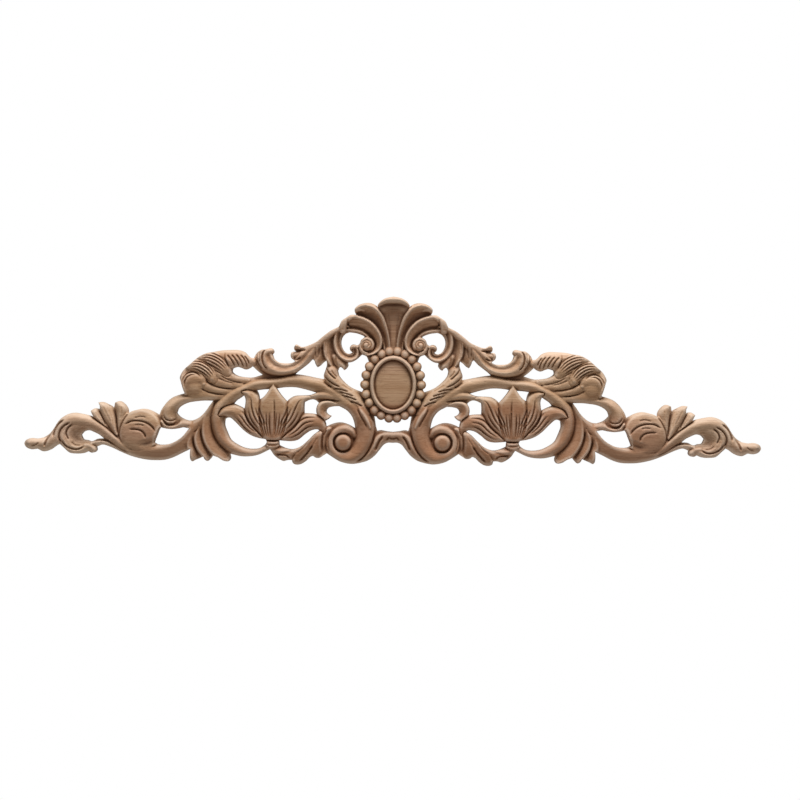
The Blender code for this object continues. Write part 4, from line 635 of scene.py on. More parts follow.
# %% Feathered leaf
ribbon([(62, 14, 6.6, 12.6), (61, 7, 8, 13.8), (57, 1.4, 8, 14.6), (50.4, -4.4, 7.4, 15),
    (44, -9.4, 7.4, 15.2), (38, -14.8, 7.2, 15), (32.6, -21, 6, 14), (27, -28.6, 4.4, 12.6)], SOFT)
ribbon([(33.8, -21.8, 2, 14.6), (31.6, -25.8, 2.9, 16.6), (28, -31.2, 2.8, 17), (25, -36.8, 2.5, 16.8),
    (22.8, -42, 1.8, 15.8)], ROUND, edge=10.4)
grooves([[(36, -23), (32.4, -30), (28.8, -36), (26, -42)]], 1.1, 2)
grooves([[(67.2, 18.6), (65.2, 13.6), (61.8, 10), (57.2, 6)], [(69.4, 10), (66, 6.2), (60.4, 2),
    (53.2, -1.6)], [(69.6, 3.8), (66.4, .8), (61.6, -1.8)], [(59.6, -2.8), (52.6, -3.8), (45, -6.2)],
    [(53.8, -6), (46.8, -8), (39.6, -10.6)], [(47.8, -10.2), (42.2, -12), (36.4, -14.8)], [(43, -15.6),
    (36.8, -17.4), (30.8, -20.8)]], 1.05, 3)
grooves([[(62, 15.4), (59.4, 11.2), (55.6, 8.2)], [(51, 1.2), (45.4, -2.4), (40.4, -5.2)], [(51.4, -9.4),
    (46, -11), (41.4, -13)]], 0.8, 1.6)
tell("Feathered leaf")

# %% [markdown]
# ### The wing leaf
#
# The biggest leaf is one swelling body. Two leaflets and a hood are laid over it and veined, a ball
# lobe fills the hood, and four ribs run back below them to the arch.

# %% Wing leaf
ribbon([(141, 2, 5, 9), (158, -1, 9, 10.8), (174, -3, 11, 12.2), (190, -6, 9.5, 13.6),
    (203, -8.5, 6, 13.8)], SOFT)
ribbon([(140, 23, 3.4, 10.5), (147, 24.4, 7.6, 13), (155, 25.4, 9.8, 14.6), (163, 25, 10.8, 15),
    (172, 22.4, 12.6, 15), (181, 19.4, 13.8, 14.8), (190, 15.6, 14, 14.8), (198, 11.4, 13.2, 14.4),
    (205, 7, 10.2, 13.4)], SOFT, edge=6.5)
for rib in ([(174, 11, 6, 14), (166, 7, 5.4, 13.2), (157, 4.8, 3.8, 12.6), (146, 4.4, 2, 11)],
        [(182, 5.6, 4.6, 15), (173, 2.4, 4.2, 13.8), (163, .2, 3.4, 12.8), (152, -.4, 2.2, 11.8)],
        [(190.6, .4, 3.8, 15.2), (181.6, -4, 3.8, 14), (172, -6.2, 3, 13), (162, -7, 2, 11.8)],
        [(200, -8, 5.4, 14.4), (188.6, -10, 4.4, 13.6), (178, -11.6, 3, 12.6), (169, -12.2, 2, 11.6)]):
    ribbon(rib, ROUND, edge=11.2, wall=2)
leaflet = [(166, 12, 4.4, 13.6), (170, 17, 6.6, 15.4), (176.6, 22.4, 8.2, 16), (185, 26, 7.4, 16),
    (193.6, 26.6, 3.6, 14.4)]
second = [(179.6, 4.4, 3.8, 14.8), (182.6, 9.4, 5.8, 16), (187.6, 14.6, 7.2, 16.6),
    (195.6, 18.6, 6.8, 16.6), (204.4, 18.6, 4, 15)]
hood = [(190, 1.4, 3.6, 15), (193.4, 4.6, 6, 16.4), (200, 5.4, 8, 17), (206, 3, 7.4, 16.6),
    (208.6, -2.6, 5, 15.6), (207, -8, 3, 14)]
for part in (leaflet, second, hood):
    ribbon(part, BUNDLE, edge=11, over=True)
dome((199, -1.4), 11.2, 11.6, 16.4, SOFT, edge=11.6, wall=2.4)
dome((181, 6), 4.2, 4.2, 15.8, SOFT, edge=12, wall=2.4)
dome((189.6, .6), 3.6, 3.4, 15.8, SOFT, edge=12, wall=2.4)
veins(leaflet, (-.62, -.26, .12, .46, .78), .1, .96, 1.0, 3)
veins(second, (-.5, -.12, .28, .66), .1, .96, 1.0, 3.2)
groove([(191.6, 6.4, .5, .4), (195.6, 10.8, 1.2, 3), (201.6, 12.4, 1.3, 3.4), (207.6, 9.6, 1.3, 3.4),
    (211, 3.6, 1.2, 3), (211, -3, .5, .6)])
groove([(197, 9.4, .5, .4), (202.4, 9.6, 1.1, 2.8), (206.8, 6.4, 1.2, 3.2), (208.8, 1.6, 1.1, 2.8),
    (208.6, -3.6, .5, .4)])
ribbon([(168, -8.6, 4, 12), (178, -12.4, 4, 12.4), (190, -13.2, 3.6, 12.5), (200, -14, 4, 12.6),
    (209, -15.4, 5, 13), (217, -19, 5.8, 13.4), (223, -25, 6.4, 13.6), (224.8, -31, 7, 13.6),
    (224, -36, 7, 13.4)], ROD, edge=6.5)
ribbon([(194, -43, 4, 12.4), (205, -40, 4.2, 12.4), (212, -39.8, 4.4, 12.6), (217, -41, 3.6, 12.8),
    (223, -41.8, 3.6, 13), (228, -40.2, 3.2, 13), (231.4, -37.4, 2.2, 12.6)], SOFT)
groove([(212.6, -35, .8, 1.6), (216, -38.8, 2, 5.6), (221.4, -40.6, 2.1, 6), (227, -39.4, 2, 5.6),
    (231, -35, .8, 1.6)])
groove([(168.8, 33, .5, .4), (168.6, 27, 1.2, 2.2), (166, 21, 1.2, 2.2), (162.6, 15, .5, .4)])
grooves([[(151, 2), (158, 3.2), (166, 5.6), (173, 9.4)], [(161, -4), (170, -3.4), (179, -1.2),
    (187, 3.4)], [(169, -9.8), (178, -9), (187, -6.6), (193, -3.4)]], 1, 2.2)
grooves([[(215.6, -33.6), (221, -36.2), (226.6, -35.2), (230, -31)]], 1.1, 2.8)
grooves([[(153, 30), (149.4, 26), (147, 21), (146.4, 17.6)], [(157.6, 30.6), (153.8, 26), (151, 21),
    (150, 18)], [(162, 30.4), (158, 25.6), (155.2, 21), (154.4, 19)], [(166.4, 30), (162.4, 25.6),
    (159.6, 21), (158.6, 18.6)], [(149, 29), (146, 25), (144.4, 21)]], 1.0, 2.8)
grooves([[(160, 1.6), (168, 3.4), (175, 6.6)]], .9, 1.2)
tell("Wing leaf")

# %% [markdown]
# ### The ball curl
#
# A leaf rolled up to a dome, with crescent cuts round it.

# %% Ball curl
ribbon([(236, -67, 5, 12.4), (246, -65, 7, 13), (256, -61, 8.4, 13.6), (266, -58, 8, 13.4)], SOFT,
    edge=6.5)
dome((253.6, -46), 21.4, 20.6, 15.8, BALL, edge=11.4, wall=3)
groove([(238.6, -53, 1, .6), (241.4, -57, 4, 3), (247, -59.4, 5, 3.4), (253.6, -60.6, 3.4, 1)])
grooves([[(237.8, -47), (241, -42.4), (247, -38.4), (254.6, -36.6), (262, -37.2), (268, -40.4)]], 1.3,
    3.2)
grooves([[(247, -54), (248.6, -49.4), (252.4, -46.2), (258, -45), (263.6, -45)]], 1.2, 3)
grooves([[(246.6, -33.4), (252, -32.4), (258.6, -33.8)], [(248.6, -41.4), (253, -40.6), (258, -41)]], .9,
    1.6)
tell("Ball curl")

# %% [markdown]
# ### Three small leaves
#
# Three leaves fan out of the joint between the ball curl and the end stem.

# %% Small leaves
ribbon([(274, -42, 3, 12.4), (272.6, -32, 5.4, 13), (272.2, -25, 6.6, 13), (275.6, -19.6, 3, 11.6)], SOFT)
ribbon([(276.4, -50, 3, 12.4), (281, -40, 5.4, 13), (286.6, -30, 7.2, 13.2), (291.4, -22.6, 5, 12.2),
    (294.6, -19.4, 2, 10.8)], SOFT)
ribbon([(287, -44, 3, 12), (294, -35, 5.4, 12.8), (299, -29.6, 4.6, 12), (302.4, -27.2, 1.8, 10.8)], SOFT)
grooves([[(263.6, -27.6), (269.6, -36), (273.4, -45), (274.2, -53), (271.4, -60), (266.6, -65)]], 1.2,
    2.6)
grooves([[(275.4, -50), (276.6, -41), (277.4, -32), (279.4, -24)], [(287.4, -41.4), (290.4, -34.6),
    (294.6, -25.6)]], 1.1, 2.2)
grooves([[(298, -28), (294, -33), (290.6, -38.6)], [(290, -23), (286.4, -30), (282.4, -38)],
    [(284.4, -25.6), (281.6, -33), (279.4, -41)], [(272, -23), (271.6, -29), (272.6, -35)]], 0.8, 1.1)
tell("Small leaves")

# %% [markdown]
# ### The end stem
#
# The stem rolls over the end curl and tapers to a small paddle, the thinnest wood of the whole carving.

# %% End stem
ribbon([(262, -67, 3, 11), (270, -62.6, 4.4, 12.4), (280, -54.4, 5.6, 13.2), (290, -46.6, 6.6, 13.8),
    (300, -40.8, 7.4, 14.2), (310, -37.8, 7.6, 14.4), (320, -37.4, 8.4, 14.4), (328, -41.4, 9.4, 14.4),
    (334, -49, 9.2, 14), (339, -56, 7.4, 13.6), (346, -60.4, 6.6, 13), (354, -60.6, 5.8, 12.4),
    (363, -60.2, 5.2, 11.6)], ROD, edge=6.5)
ribbon([(312, -43, 4, 12.4), (320, -46.6, 5.6, 13), (323.4, -53, 5.6, 13), (320, -60, 5.4, 12.8),
    (312, -61.6, 4.4, 12.6), (304, -60.4, 3.4, 12)], BOWL, edge=7.5)
ribbon([(326, -44, 4.4, 13.4), (330.6, -51, 4.6, 13.8), (328.4, -59.4, 5.4, 13.6),
    (321.4, -65, 5.2, 13.2), (312.4, -65.6, 4.4, 12.8), (304.6, -63.4, 3.6, 12.4), (300, -64.6, 3.6, 12)],
    SOFT)
ribbon([(308, -62, 3, 12.4), (303, -62.6, 3, 13), (299.4, -65.6, 3, 12.8), (299, -68.6, 1.6, 11)], ROUND)
grooves([[(274, -55), (283, -47), (292, -39.8), (302.6, -32.8)]], 1.2, 3)
grooves([[(264, -69), (274, -64), (282, -59.4), (288.6, -56.2), (296, -56.6), (301, -58.4)]], 1.2, 2.6)
grooves([[(330, -36.4), (335.2, -41), (338.6, -47), (340, -53)], [(344, -51), (346.6, -56),
    (349, -62.6)]], 1.5, 4)
grooves([[(323.4, -38.8), (329.4, -42.4), (333.4, -48), (334.4, -54), (332, -58.4)], [(332, -56),
    (328, -61.4), (321.4, -65), (314.6, -65.4), (309.4, -62.8)]], 1.4, 3.6)
grooves([[(320.6, -40.4), (325, -44), (327, -49.6), (324.6, -56)]], 1.1, 3)
grooves([[(322.4, -58), (318, -61.2), (312.6, -61.8)], [(354.6, -59.4), (358, -61.4), (362, -62)]], 1, 2)
tell("End stem")

# %% [markdown]
# ### The medallion
#
# The raised oval is carved last. The bead row stands on a sunk ground. The ground, ring and field are
# cut here, and the beads themselves are added further down.

# %% Medallion
dome((0, RISE), *MEDALLION, 9, LEVEL, edge=8.6, over=True)
dome((0, RISE), 23.6, 29.6, 15.6, BEADING, edge=8.4, over=True)
dome((0, RISE), 19.1, 25, 12.6, FIELD, edge=9, over=True)
tell("Medallion")

# %% [markdown]
# ## From heights to a surface
#
# A plain grid would waste its faces on flat wood and still miss the V cuts. The surface keeps every
# grid point where the wood bends sharply, every second one where it bends a little and every fourth
# one elsewhere. A Delaunay triangulation joins them, with the outline as edges it has to keep.

# %% Heights, eased as by sanding
def soften(H, reach):
    """Blur the heights a little, as abrasive paper does to a sharp arris."""
    n = max(1, int(3 * reach))
    k = np.exp(-0.5 * (np.arange(-n, n + 1) / reach) ** 2)
    for axis in (0, 1):
        H = np.moveaxis(H, axis, 0)
        padded = np.pad(H, ((n, n), (0, 0)), mode="edge")
        H = np.moveaxis(sum(w * padded[m:m + len(H)] for m, w in enumerate(k / k.sum())), 0, axis)
    return H


rounding = EDGE + ROUNDED * (1 - (1 - np.clip(inwards / RIM, 0, 1)) ** 2) ** 0.5
heights = soften(np.minimum(np.maximum(board.H, EDGE), rounding), SANDED / PITCH)
in_wood = inwards > 0
print("highest point %.1f mm, lowest part of the front %.1f mm"
      % (heights[in_wood].max() * MM, heights[in_wood].min() * MM))


# %% Outline as points
def contours(F, u, v):
    """Where F crosses zero on the grid: closed loops of points, or chains that end on the centre line."""
    up = F > 0
    mixed = (up[:-1, :-1] != up[:-1, 1:]) | (up[:-1, :-1] != up[1:, :-1]) | (up[:-1, :-1] != up[1:, 1:])
    links = {}
    for i, j in zip(*np.nonzero(mixed)):
        corners = (i, j), (i, j + 1), (i + 1, j + 1), (i + 1, j)
        sides = low, right, high, left = [tuple(sorted(s)) for s in zip(corners, corners[1:] + corners[:1])]
        pairs = [[s for s in sides if up[s[0]] != up[s[1]]]]
        if len(pairs[0]) == 4:
            split = (F[i:i + 2, j:j + 2].sum() > 0) != up[i, j + 1]
            pairs = [(low, right), (high, left)] if split else [(low, left), (right, high)]
        for a, b in pairs:
            links.setdefault(a, []).append(b)
            links.setdefault(b, []).append(a)

    def crossing(side):
        (i, j), (k, l) = side
        t = F[i, j] / (F[i, j] - F[k, l])
        return u[j] + t * (u[l] - u[j]), v[i] + t * (v[k] - v[i])

    chains, used = [], set()
    for start in [side for side in links if len(links[side]) == 1] + list(links):
        chain, onward = [], [] if start in used else [start]
        while onward:
            chain.append(onward[0])
            used.add(onward[0])
            onward = [side for side in links[onward[0]] if side not in used]
        if chain:
            closed = len(chain) > 2 and start in links[chain[-1]]
            chains.append(np.array([crossing(side) for side in chain + [start] * closed]))
    return chains


def thinned(chain, slack):
    """Keep only the points a chain needs to stay within slack of its true course."""
    run, d = chain - chain[0], chain[-1] - chain[0]
    closed = np.allclose(d, 0)
    off = np.hypot(*run.T) if closed else np.abs(run[:, 0] * d[1] - run[:, 1] * d[0]) / np.hypot(*d)
    k = int(np.argmax(off))
    if off[k] <= slack:
        return chain[[0, -1]]
    return np.vstack([thinned(chain[:k + 1], slack)[:-1], thinned(chain[k:], slack)])


# %% Choose the points
BATCH = 2000                   # points tested at a time
UNSURE = 0.6                   # squares from the outline within which a triangle's middle is tested


def sample(field, points, every=1):
    """Values of a grid field at points, between grid values; the field may hold only every n-th value."""
    x = np.clip((points[:, 0] - board.u[0]) / PITCH / every, 0, field.shape[1] - 1.001)
    y = np.clip((points[:, 1] - board.v[0]) / PITCH / every, 0, field.shape[0] - 1.001)
    j, i = x.astype(int), y.astype(int)
    s, t = x - j, y - i
    return (field[i, j] * (1 - s) * (1 - t) + field[i, j + 1] * s * (1 - t)
            + field[i + 1, j] * (1 - s) * t + field[i + 1, j + 1] * s * t)


def missed(n):
    """What a grid with only every n-th point would get wrong, at each grid point."""
    at = np.column_stack([board.U.ravel(), board.V.ravel()])
    return np.abs(sample(heights[::n, ::n], at, n).reshape(heights.shape) - heights)


def chosen_points():
    """Grid points for the front: every fourth one, and nearer ones where the wood would come out wrong."""
    every = np.zeros(heights.shape, int)
    every[::2, ::2], every[::4, ::4] = 1, 2
    rough = missed(4)
    rough = np.max([np.roll(rough, (i, j), (0, 1)) for i in (-1, 0, 1) for j in (-1, 0, 1)], axis=0)
    keep = (every == 2) | ((every == 1) & (rough > MISS_WIDE)) | (missed(2) > MISS_FINE)
    keep &= (inwards > PITCH) & ((inwards > 2 * PITCH) | (every >= 1))
    print("points of the front:", keep.sum())
    return np.column_stack([board.U[keep], board.V[keep]])


def within(points, a, b):
    """Even-odd test of points against edges from a to b."""
    answer = np.zeros(len(points), bool)
    for first in range(0, len(points), BATCH):
        p = points[first:first + BATCH, None]
        hit = (a[None, :, 1] > p[..., 1]) != (b[None, :, 1] > p[..., 1])
        with np.errstate(divide="ignore", invalid="ignore"):
            x = a[None, :, 0] + (p[..., 1] - a[None, :, 1]) * (b - a)[None, :, 0] / (b - a)[None, :, 1]
        answer[first:first + BATCH] = (hit & (p[..., 0] < x)).sum(axis=1) % 2 == 1
    return answer


def triangles(points, edges):
    """Delaunay triangles that keep the given edges, where they lie in the wood."""
    made = delaunay_2d_cdt([Vector(p) for p in points], [tuple(e) for e in edges], [], 0, 1e-6)
    own = np.array([ids[0] if ids else -1 for ids in made[3]])
    faces = own[np.array(made[2])]
    assert faces.min() >= 0, "the outline crosses itself"
    middle = points[faces].mean(axis=1)
    depth = sample(inwards, middle)
    unsure = np.abs(depth) < UNSURE
    wood = depth > 0
    wood[unsure] = within(middle[unsure], points[edges[:, 0]], points[edges[:, 1]])
    return faces[wood]


# %% Front, wall and back of the right half
def half_surface():
    """Points with the rim first, rim edges, and the front and back triangles."""
    points, edges, ends = [], [], []
    for chain in contours(inwards, board.u, board.v):
        chain = thinned(chain, SLACK)
        closed = np.allclose(chain[0], chain[-1])
        chain = chain[:-1] if closed else chain
        first = len(points)
        points += [tuple(p) for p in chain]
        edges += [(first + k, first + k + 1) for k in range(len(chain) - 1)]
        if closed:
            edges.append((first + len(chain) - 1, first))
        else:
            ends += [first, first + len(chain) - 1]
    points = np.array(points)
    points[ends, 0] = 0
    rim = len(points)
    ends.sort(key=lambda k: points[k, 1])
    joints = list(zip(ends[::2], ends[1::2]))
    back = triangles(points, np.array(edges + joints))
    inner = chosen_points()
    centred = inner[:, 0] < 1e-9
    centre, inner = inner[centred], inner[~centred]
    front_points = np.vstack([points, centre, inner])
    middle = []
    for a, b in joints:
        on_line = [rim + k for k in range(len(centre)) if points[a, 1] < centre[k, 1] < points[b, 1]]
        run = [a] + sorted(on_line, key=lambda k: front_points[k, 1]) + [b]
        middle += zip(run, run[1:])
    front = triangles(front_points, np.array(edges + middle))
    return front_points, rim, np.array(edges), front, back


points, rim, rim_edges, front, back = half_surface()
print("half: rim", rim, "points", len(points), "front", len(front), "back", len(back))

# %% [markdown]
# ## One closed body
#
# The half is mirrored across the centre line, where both halves share their points. The rim drops
# straight down to the back, as the router's side cut leaves it, and the back is dead flat for glueing.

# %% Build the mesh
ARRIS = 50                     # degrees between two faces from which the edge shows as an arris


def closed_body(name):
    """Mirror the half and join front, wall and flat back into one closed mesh."""
    lifted = sample(heights, points)
    lifted[:rim] = EDGE
    centred = np.abs(points[:, 0]) < 1e-9
    right = np.arange(len(points))
    left = np.where(centred, right, len(points) + np.cumsum(~centred) - 1)
    plan = np.vstack([points, points[~centred] * (-1, 1)])
    tall = np.concatenate([lifted, lifted[~centred]])
    top = np.column_stack([plan[:, 0], -tall, plan[:, 1]])
    feet_of = np.full(len(plan), -1)
    rims = np.concatenate([right[:rim], left[:rim][~centred[:rim]]])
    feet_of[rims] = len(plan) + np.arange(len(rims))
    feet = np.column_stack([plan[rims, 0], np.zeros(len(rims)), plan[rims, 1]])
    faces = []
    for side, turn in ((right, 1), (left, -1)):
        faces += [side[front][:, ::turn], feet_of[side[back]][:, ::-turn]]
        a, b = side[rim_edges[:, 0]], side[rim_edges[:, 1]]
        for wall in ((a, feet_of[a], feet_of[b]), (a, feet_of[b], b)):
            faces.append(np.column_stack(wall)[:, ::turn])
    mesh = bpy.data.meshes.new(name)
    mesh.from_pydata((np.vstack([top, feet]) * UNIT).tolist(), [], np.vstack(faces).tolist())
    mesh.validate()
    shape = bmesh.new()
    shape.from_mesh(mesh)
    bmesh.ops.recalc_face_normals(shape, faces=shape.faces)
    open_edges = sum(not e.is_manifold for e in shape.edges)
    shape.to_mesh(mesh)
    print(name, "faces", len(mesh.polygons), "open edges", open_edges,
          "volume %.1f cm3" % (shape.calc_volume() * 1e6))
    shape.free()
    mesh.shade_smooth()
    mesh.set_sharp_from_angle(angle=np.radians(ARRIS))
    return mesh, plan


carving_mesh, plan = closed_body("carving")

# %% [markdown]
# ## What the finish needs to know
#
# Grooves and hollows get painted shade, darker than the wood round them, and crests a painted highlight, a
# little paler, that also stands for some wear. All three are read from the heights: how far a point lies
# below the average height over a wide reach, the same over a narrow reach, and how far it stands above that
# second average. Air counts as 0.

# %% Attributes
mirrored = np.column_stack([np.abs(plan[:, 0]), plan[:, 1]])


def below(reach, full):
    """How far the surface lies below the average over a reach, as a share of full; negative is above."""
    ground = soften(np.where(in_wood, heights, 0), reach / PITCH)
    return (sample(ground, mirrored) - sample(heights, mirrored)) / full


def lay(name, values):
    """Store a share from 0 to 1 at each point of the front, and 0 at the back."""
    feet = np.zeros(len(carving_mesh.vertices) - len(plan))
    shares = np.r_[np.clip(values, 0, 1), feet].astype(np.float32)
    carving_mesh.attributes.new(name, "FLOAT", "POINT").data.foreach_set("value", shares)
    print("mean", name, "%.2f" % shares[:len(plan)].mean())


# These shares paint shade into the hollows and creases, and a highlight, partly wear, onto the crests.
crease_shade = below(reach=1.6, full=1.2)
lay("hollow_shade", below(reach=6.0, full=4.0))
lay("crease_shade", crease_shade)
lay("crest", -crease_shade)

# %% [markdown]
# ## The beads
#
# A fluting tool leaves a row of equal domes. They follow an oval, so one ball, pressed a little flat and
# sunk into the ground, is repeated along that oval with Geometry Nodes.

# %% One helper for nodes
def node(tree, kind, links=(), out=0, **settings):
    """Add a node, set its fields and inputs (i3 is input 3), link into it, and give back an output."""
    made = tree.nodes.new(kind)
    for key, value in settings.items():
        if hasattr(made, key):
            setattr(made, key, value)
        else:
            made.inputs[int(key[1:]) if key[1:].isdigit() else key].default_value = value
    for socket, source in dict(links).items():
        tree.links.new(source, made.inputs[socket])
    return made.outputs[out]


def placed(name, data):
    """An object at the origin, in the scene."""
    made = bpy.data.objects.new(name, data)
    bpy.context.collection.objects.link(made)
    return made


def grown(name, build, given):
    """Run a Geometry Nodes tree once, with inputs given as (kind, value), and keep the plain mesh."""
    tree = bpy.data.node_groups.new(name, "GeometryNodeTree")
    tree.interface.new_socket("Geometry", in_out="OUTPUT", socket_type="NodeSocketGeometry")
    keys = [tree.interface.new_socket(label, in_out="INPUT", socket_type="NodeSocket" + kind).identifier
            for label, (kind, value) in given.items()]
    entry = tree.nodes.new("NodeGroupInput")
    leave = tree.nodes.new("NodeGroupOutput")
    tree.links.new(build(tree, entry.outputs), leave.inputs[0])
    seed = placed(name, bpy.data.meshes.new(name + " seed"))
    modifier = seed.modifiers.new("grow", "NODES")
    modifier.node_group = tree
    for key, (kind, value) in zip(keys, given.values()):
        modifier[key] = value
    mesh = bpy.data.meshes.new_from_object(seed.evaluated_get(bpy.context.evaluated_depsgraph_get()))
    seed.modifiers.remove(modifier)
    seed.data = mesh
    print(name, "faces", len(mesh.polygons))
    return seed


# %% Beads
SEGMENTS, RINGS = 32, 20       # faces round a bead, and from one pole to the other


def bead_row(tree, given):
    """Flattened balls on an oval, the first half a step off the top, with painted shade at their feet and a
    painted highlight on their crowns.
    """
    index = node(tree, "GeometryNodeInputIndex")
    turn = node(tree, "ShaderNodeMath", {0: index}, operation="ADD", i1=0.5)
    turn = node(tree, "ShaderNodeMath", {0: turn, 1: given["Count"]}, operation="DIVIDE")
    turn = node(tree, "ShaderNodeMath", {0: turn}, operation="MULTIPLY", i1=2 * np.pi)
    across = node(tree, "ShaderNodeMath", {0: turn}, operation="SINE")
    across = node(tree, "ShaderNodeMath", {0: across, 1: given["Half width"]}, operation="MULTIPLY")
    up = node(tree, "ShaderNodeMath", {0: turn}, operation="COSINE")
    up = node(tree, "ShaderNodeMath", {0: up, 1: given["Half height"], 2: given["Rise"]},
              operation="MULTIPLY_ADD")
    out = node(tree, "ShaderNodeMath", {0: given["Height"]}, operation="MULTIPLY", i1=-1)
    place = node(tree, "ShaderNodeCombineXYZ", {0: across, 1: out, 2: up})
    row = node(tree, "GeometryNodeMeshLine", {"Count": given["Count"]})
    row = node(tree, "GeometryNodeSetPosition", {"Geometry": row, "Position": place})
    ball = node(tree, "GeometryNodeMeshUVSphere", {"Radius": given["Radius"]}, Segments=SEGMENTS,
                Rings=RINGS)
    row = node(tree, "GeometryNodeInstanceOnPoints", {"Points": row, "Instance": ball},
               Scale=(1, BEAD_DEPTH, 1))
    row = node(tree, "GeometryNodeRealizeInstances", {"Geometry": row})
    row = node(tree, "GeometryNodeSetShadeSmooth", {"Geometry": row})
    depth = node(tree, "ShaderNodeSeparateXYZ", {0: node(tree, "GeometryNodeInputPosition")}, out=1)
    depth = node(tree, "ShaderNodeMath", {0: depth, 1: given["Height"]}, operation="ADD")
    depth = node(tree, "ShaderNodeMath", {0: depth, 1: given["Radius"]}, operation="DIVIDE")
    # Painted shade grows toward each bead's foot and a painted highlight toward its crown.
    for name, start, full in (("hollow_shade", -0.8, 0), ("crest", -0.6, -1)):
        share = node(tree, "ShaderNodeMapRange", {0: depth}, i1=start * BEAD_DEPTH, i2=full * BEAD_DEPTH)
        row = node(tree, "GeometryNodeStoreNamedAttribute", {"Geometry": row, "Value": share},
                   data_type="FLOAT", domain="POINT", Name=name)
    return node(tree, "GeometryNodeSetMaterial", {"Geometry": row, "Material": given["Wood"]})


# %% [markdown]
# ## Bare wood
#
# Onlays like this are sold raw, most often in rubberwood, which is pale tan with pinkish and yellowish
# bands and short dark pores. The carving is sanded, not varnished, so it is almost matt.
# The grooves get painted shade, which also stands for the rougher, slightly burnt wood the cutters leave
# there, and the crests a painted highlight that also stands for wear.

# %% Colours
def linear(hex_code):
    """sRGB hex to the linear colour a shader wants."""
    parts = [int(hex_code[k:k + 2], 16) / 255 for k in (1, 3, 5)]
    return [c / 12.92 if c <= 0.04045 else ((c + 0.055) / 1.055) ** 2.4 for c in parts] + [1]


# The palest colour lightens the two ends of the board and is also the painted highlight, with some wear, on
# the crests; the darkest is the pores' colour and the painted shade in grooves and hollows.
PALE, TAN, OCHRE, RED, BROWN, PORE_AND_SHADE, WHITISH = map(linear, (
    "#C09C80", "#A47C5E", "#A68C6A", "#8A5C42", "#7A5234", "#482105", "#E4D4C2"))
print("tan in linear light", [round(c, 3) for c in TAN])


# %% Rubberwood
def rubberwood():
    """Sanded rubberwood: tan, banded along the board, with dark pores, painted shade in the grooves and a
    painted highlight on the crests.
    """
    material = bpy.data.materials.new("rubberwood_sanded")
    material.use_nodes = True
    tree = material.node_tree
    shader = tree.nodes["Principled BSDF"]
    where = node(tree, "ShaderNodeTexCoord", out=3)
    found = {}
    # Streak sizes in mm along and across the grain. Real pores are 0.2 mm wide, too fine to show in
    # the picture, so they are drawn at 0.5 mm.
    for name, along, across, detail in (("staves", 420, 38, 2), ("bands", 240, 8, 4),
                                        ("fibres", 45, 1.1, 5), ("pores", 6, 0.5, 2)):
        grain = node(tree, "ShaderNodeMapping", {"Vector": where},
                     Scale=(1000 / along, 1000 / across, 1000 / across))
        found[name] = node(tree, "ShaderNodeTexNoise", {"Vector": grain}, Scale=1.0, Detail=detail,
                           Roughness=0.58)
    for name in ("hollow_shade", "crease_shade", "crest"):
        found[name] = node(tree, "ShaderNodeAttribute", out=2, attribute_name=name)
    # The lower half of the board is redder than the rest, except toward its two ends, which are paler.
    along = node(tree, "ShaderNodeSeparateXYZ", {0: where})
    along = node(tree, "ShaderNodeMath", {0: along}, operation="ABSOLUTE")
    ends = found["ends"] = node(tree, "ShaderNodeMapRange", {0: along}, i1=0.16, i2=0.26, i4=0.05)
    level = node(tree, "ShaderNodeSeparateXYZ", {0: where}, out=2)
    level = node(tree, "ShaderNodeMath", {0: level, 1: ends}, operation="ADD")
    found["lower"] = node(tree, "ShaderNodeMath", {0: found["staves"], 2: level},
                          operation="MULTIPLY_ADD", i1=0.12)
    colour = node(tree, "ShaderNodeRGB")
    colour.default_value = TAN
    # Each row says where a tint starts, where it is full, how much of it there is then, and its colour. The
    # last three rows are painted shade in hollows and creases and a painted highlight on crests.
    for name, low, high, most, tint in (
            ("bands", 0.38, 0.64, 1.0, PALE), ("staves", 0.42, 0.56, 0.4, OCHRE),
            ("lower", 0.055, 0.035, 0.5, RED), ("ends", 0.0, 0.05, 0.12, WHITISH),
            ("fibres", 0.4, 0.7, 0.5, BROWN), ("pores", 0.6, 0.72, 0.45, PORE_AND_SHADE),
            # The hollow and crease rows paint shade into grooves and hollows; the crest row paints a
            # highlight that also stands for wear.
            ("hollow_shade", 0.05, 1.0, 0.65, PORE_AND_SHADE), ("crease_shade", 0.1, 0.9, 0.62, PORE_AND_SHADE),
            ("crest", 0.2, 0.9, 0.3, WHITISH)):
        amount = node(tree, "ShaderNodeMapRange", {0: found[name]}, i1=low, i2=high, i4=most)
        colour = node(tree, "ShaderNodeMix", {0: amount, 6: colour}, out=2, data_type="RGBA", i7=tint)
    tree.links.new(colour, shader.inputs["Base Color"])
    rough = node(tree, "ShaderNodeMapRange", {0: found["fibres"]}, i1=0.3, i2=0.7, i3=0.48, i4=0.65)
    tree.links.new(rough, shader.inputs["Roughness"])
    shader.inputs["IOR"].default_value = 1.5
    shader.inputs["Specular IOR Level"].default_value = 0.18
    raised = node(tree, "ShaderNodeMath", {0: found["fibres"], 1: found["pores"]}, operation="SUBTRACT")
    bump = node(tree, "ShaderNodeBump", {"Height": raised}, Strength=0.4, Distance=0.0003)
    tree.links.new(bump, shader.inputs["Normal"])
    return material


wood = rubberwood()
print(wood.name, "nodes", len(wood.node_tree.nodes))

# %% [markdown]
# ## Put the pieces in place
#
# The carving takes the place of the plain solid. The beads ride with it.

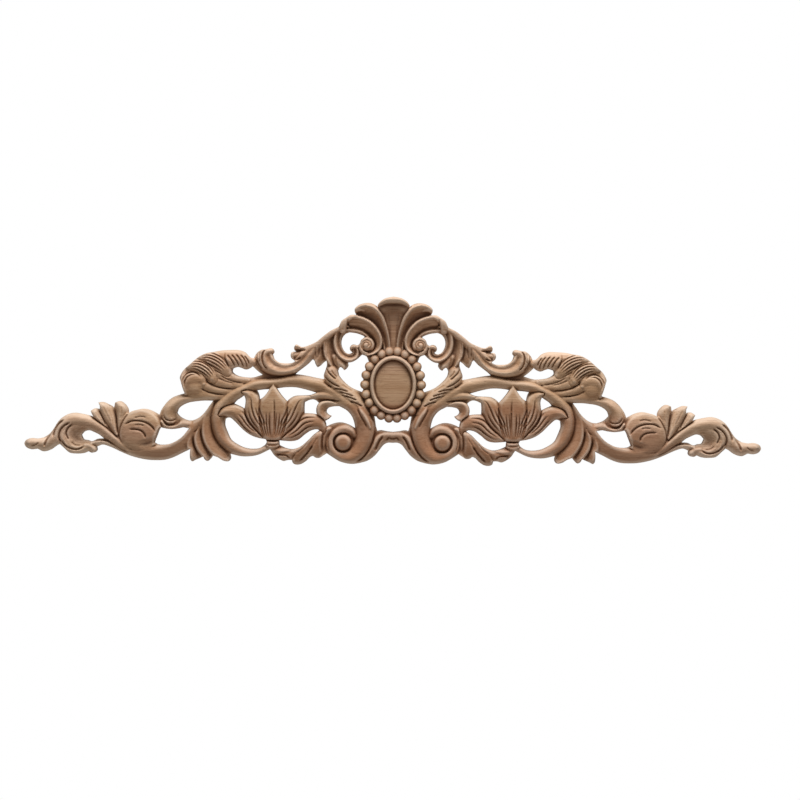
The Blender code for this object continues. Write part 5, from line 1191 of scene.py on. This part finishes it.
# %% Carving and beads
carving = placed("carved_onlay", carving_mesh)
carving.data.materials.append(wood)
beads = grown("bead_row", bead_row, {
    "Count": ("Int", BEADS), "Half width": ("Float", BEAD_PATH[0] * UNIT),
    "Half height": ("Float", BEAD_PATH[1] * UNIT), "Rise": ("Float", RISE * UNIT),
    "Height": ("Float", BEAD_LEVEL * UNIT), "Radius": ("Float", BEAD * UNIT), "Wood": ("Material", wood)})
for piece in (carving, beads):
    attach(piece, "root")
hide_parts("carved_applique")

# %% [markdown]
# ## Studio
#
# The carving hangs in a white room, well above a pale floor. One broad lamp stands high in front, so
# every form has a bright upper edge and a dark underside, and a weak one from the front keeps the
# hollows readable. The camera stands square to the back.

# %% Floor, lamps and camera
FLOOR, DROP = 2.0, 0.9         # half the floor's width, and how far it lies below the carving
ROOM = 0.22                    # light from the white room; the camera sees it as pure white
DISTANCE = 2.0                 # from the camera to the carving's face
FACE = 0.0115                  # height of that face over the back
WIDE = 800                     # width of the picture there, in squares
AIM = (7, -14)                 # middle of the picture, squares out and up
LEAN = 0.4                     # degrees that the picture leans

scene = bpy.context.scene
scene.view_settings.view_transform = "Standard"


def plain(name, colour, rough):
    """One-colour material for the stage."""
    material = bpy.data.materials.new(name)
    material.use_nodes = True
    shader = material.node_tree.nodes["Principled BSDF"]
    shader.inputs["Base Color"].default_value, shader.inputs["Roughness"].default_value = colour, rough
    return material


floor = placed("floor", bpy.data.meshes.new("floor"))
corners = [(x * FLOOR, y * FLOOR, -DROP) for x, y in ((-1, -1), (1, -1), (1, 1), (-1, 1))]
floor.data.from_pydata(corners, [], [(0, 1, 2, 3)])
floor.data.materials.append(plain("pale_floor", linear("#E8E6E2"), 0.8))


def lamp(name, place, size, watts):
    """A square soft lamp that faces the middle of the carving."""
    made = placed(name, bpy.data.lights.new(name, "AREA"))
    made.data.shape, made.data.size, made.data.energy = "SQUARE", size, watts
    made.location = place
    made.rotation_euler = (-Vector(place)).to_track_quat("-Z", "Y").to_euler()


lamp("high_lamp", (0.1, -0.5, 1.5), 0.9, 44)
lamp("front_lamp", (-0.3, -2.0, 0.6), 1.0, 5)
world = bpy.data.worlds.new("white_room")
scene.world = world
world.use_nodes = True
tree = world.node_tree
seen = node(tree, "ShaderNodeLightPath")
strength = node(tree, "ShaderNodeMapRange", {0: seen}, i3=ROOM, i4=1.0)
tree.links.new(strength, tree.nodes["Background"].inputs["Strength"])
tree.nodes["Background"].inputs["Color"].default_value = (1, 1, 1, 1)

camera = placed("camera", bpy.data.cameras.new("camera"))
camera.data.lens = camera.data.sensor_width * DISTANCE / (WIDE * UNIT)
camera.location = (AIM[0] * UNIT, -FACE - DISTANCE, AIM[1] * UNIT)
camera.rotation_euler = (np.pi / 2, -np.radians(LEAN), 0)
scene.camera = camera
print("lens %.1f mm" % camera.data.lens)
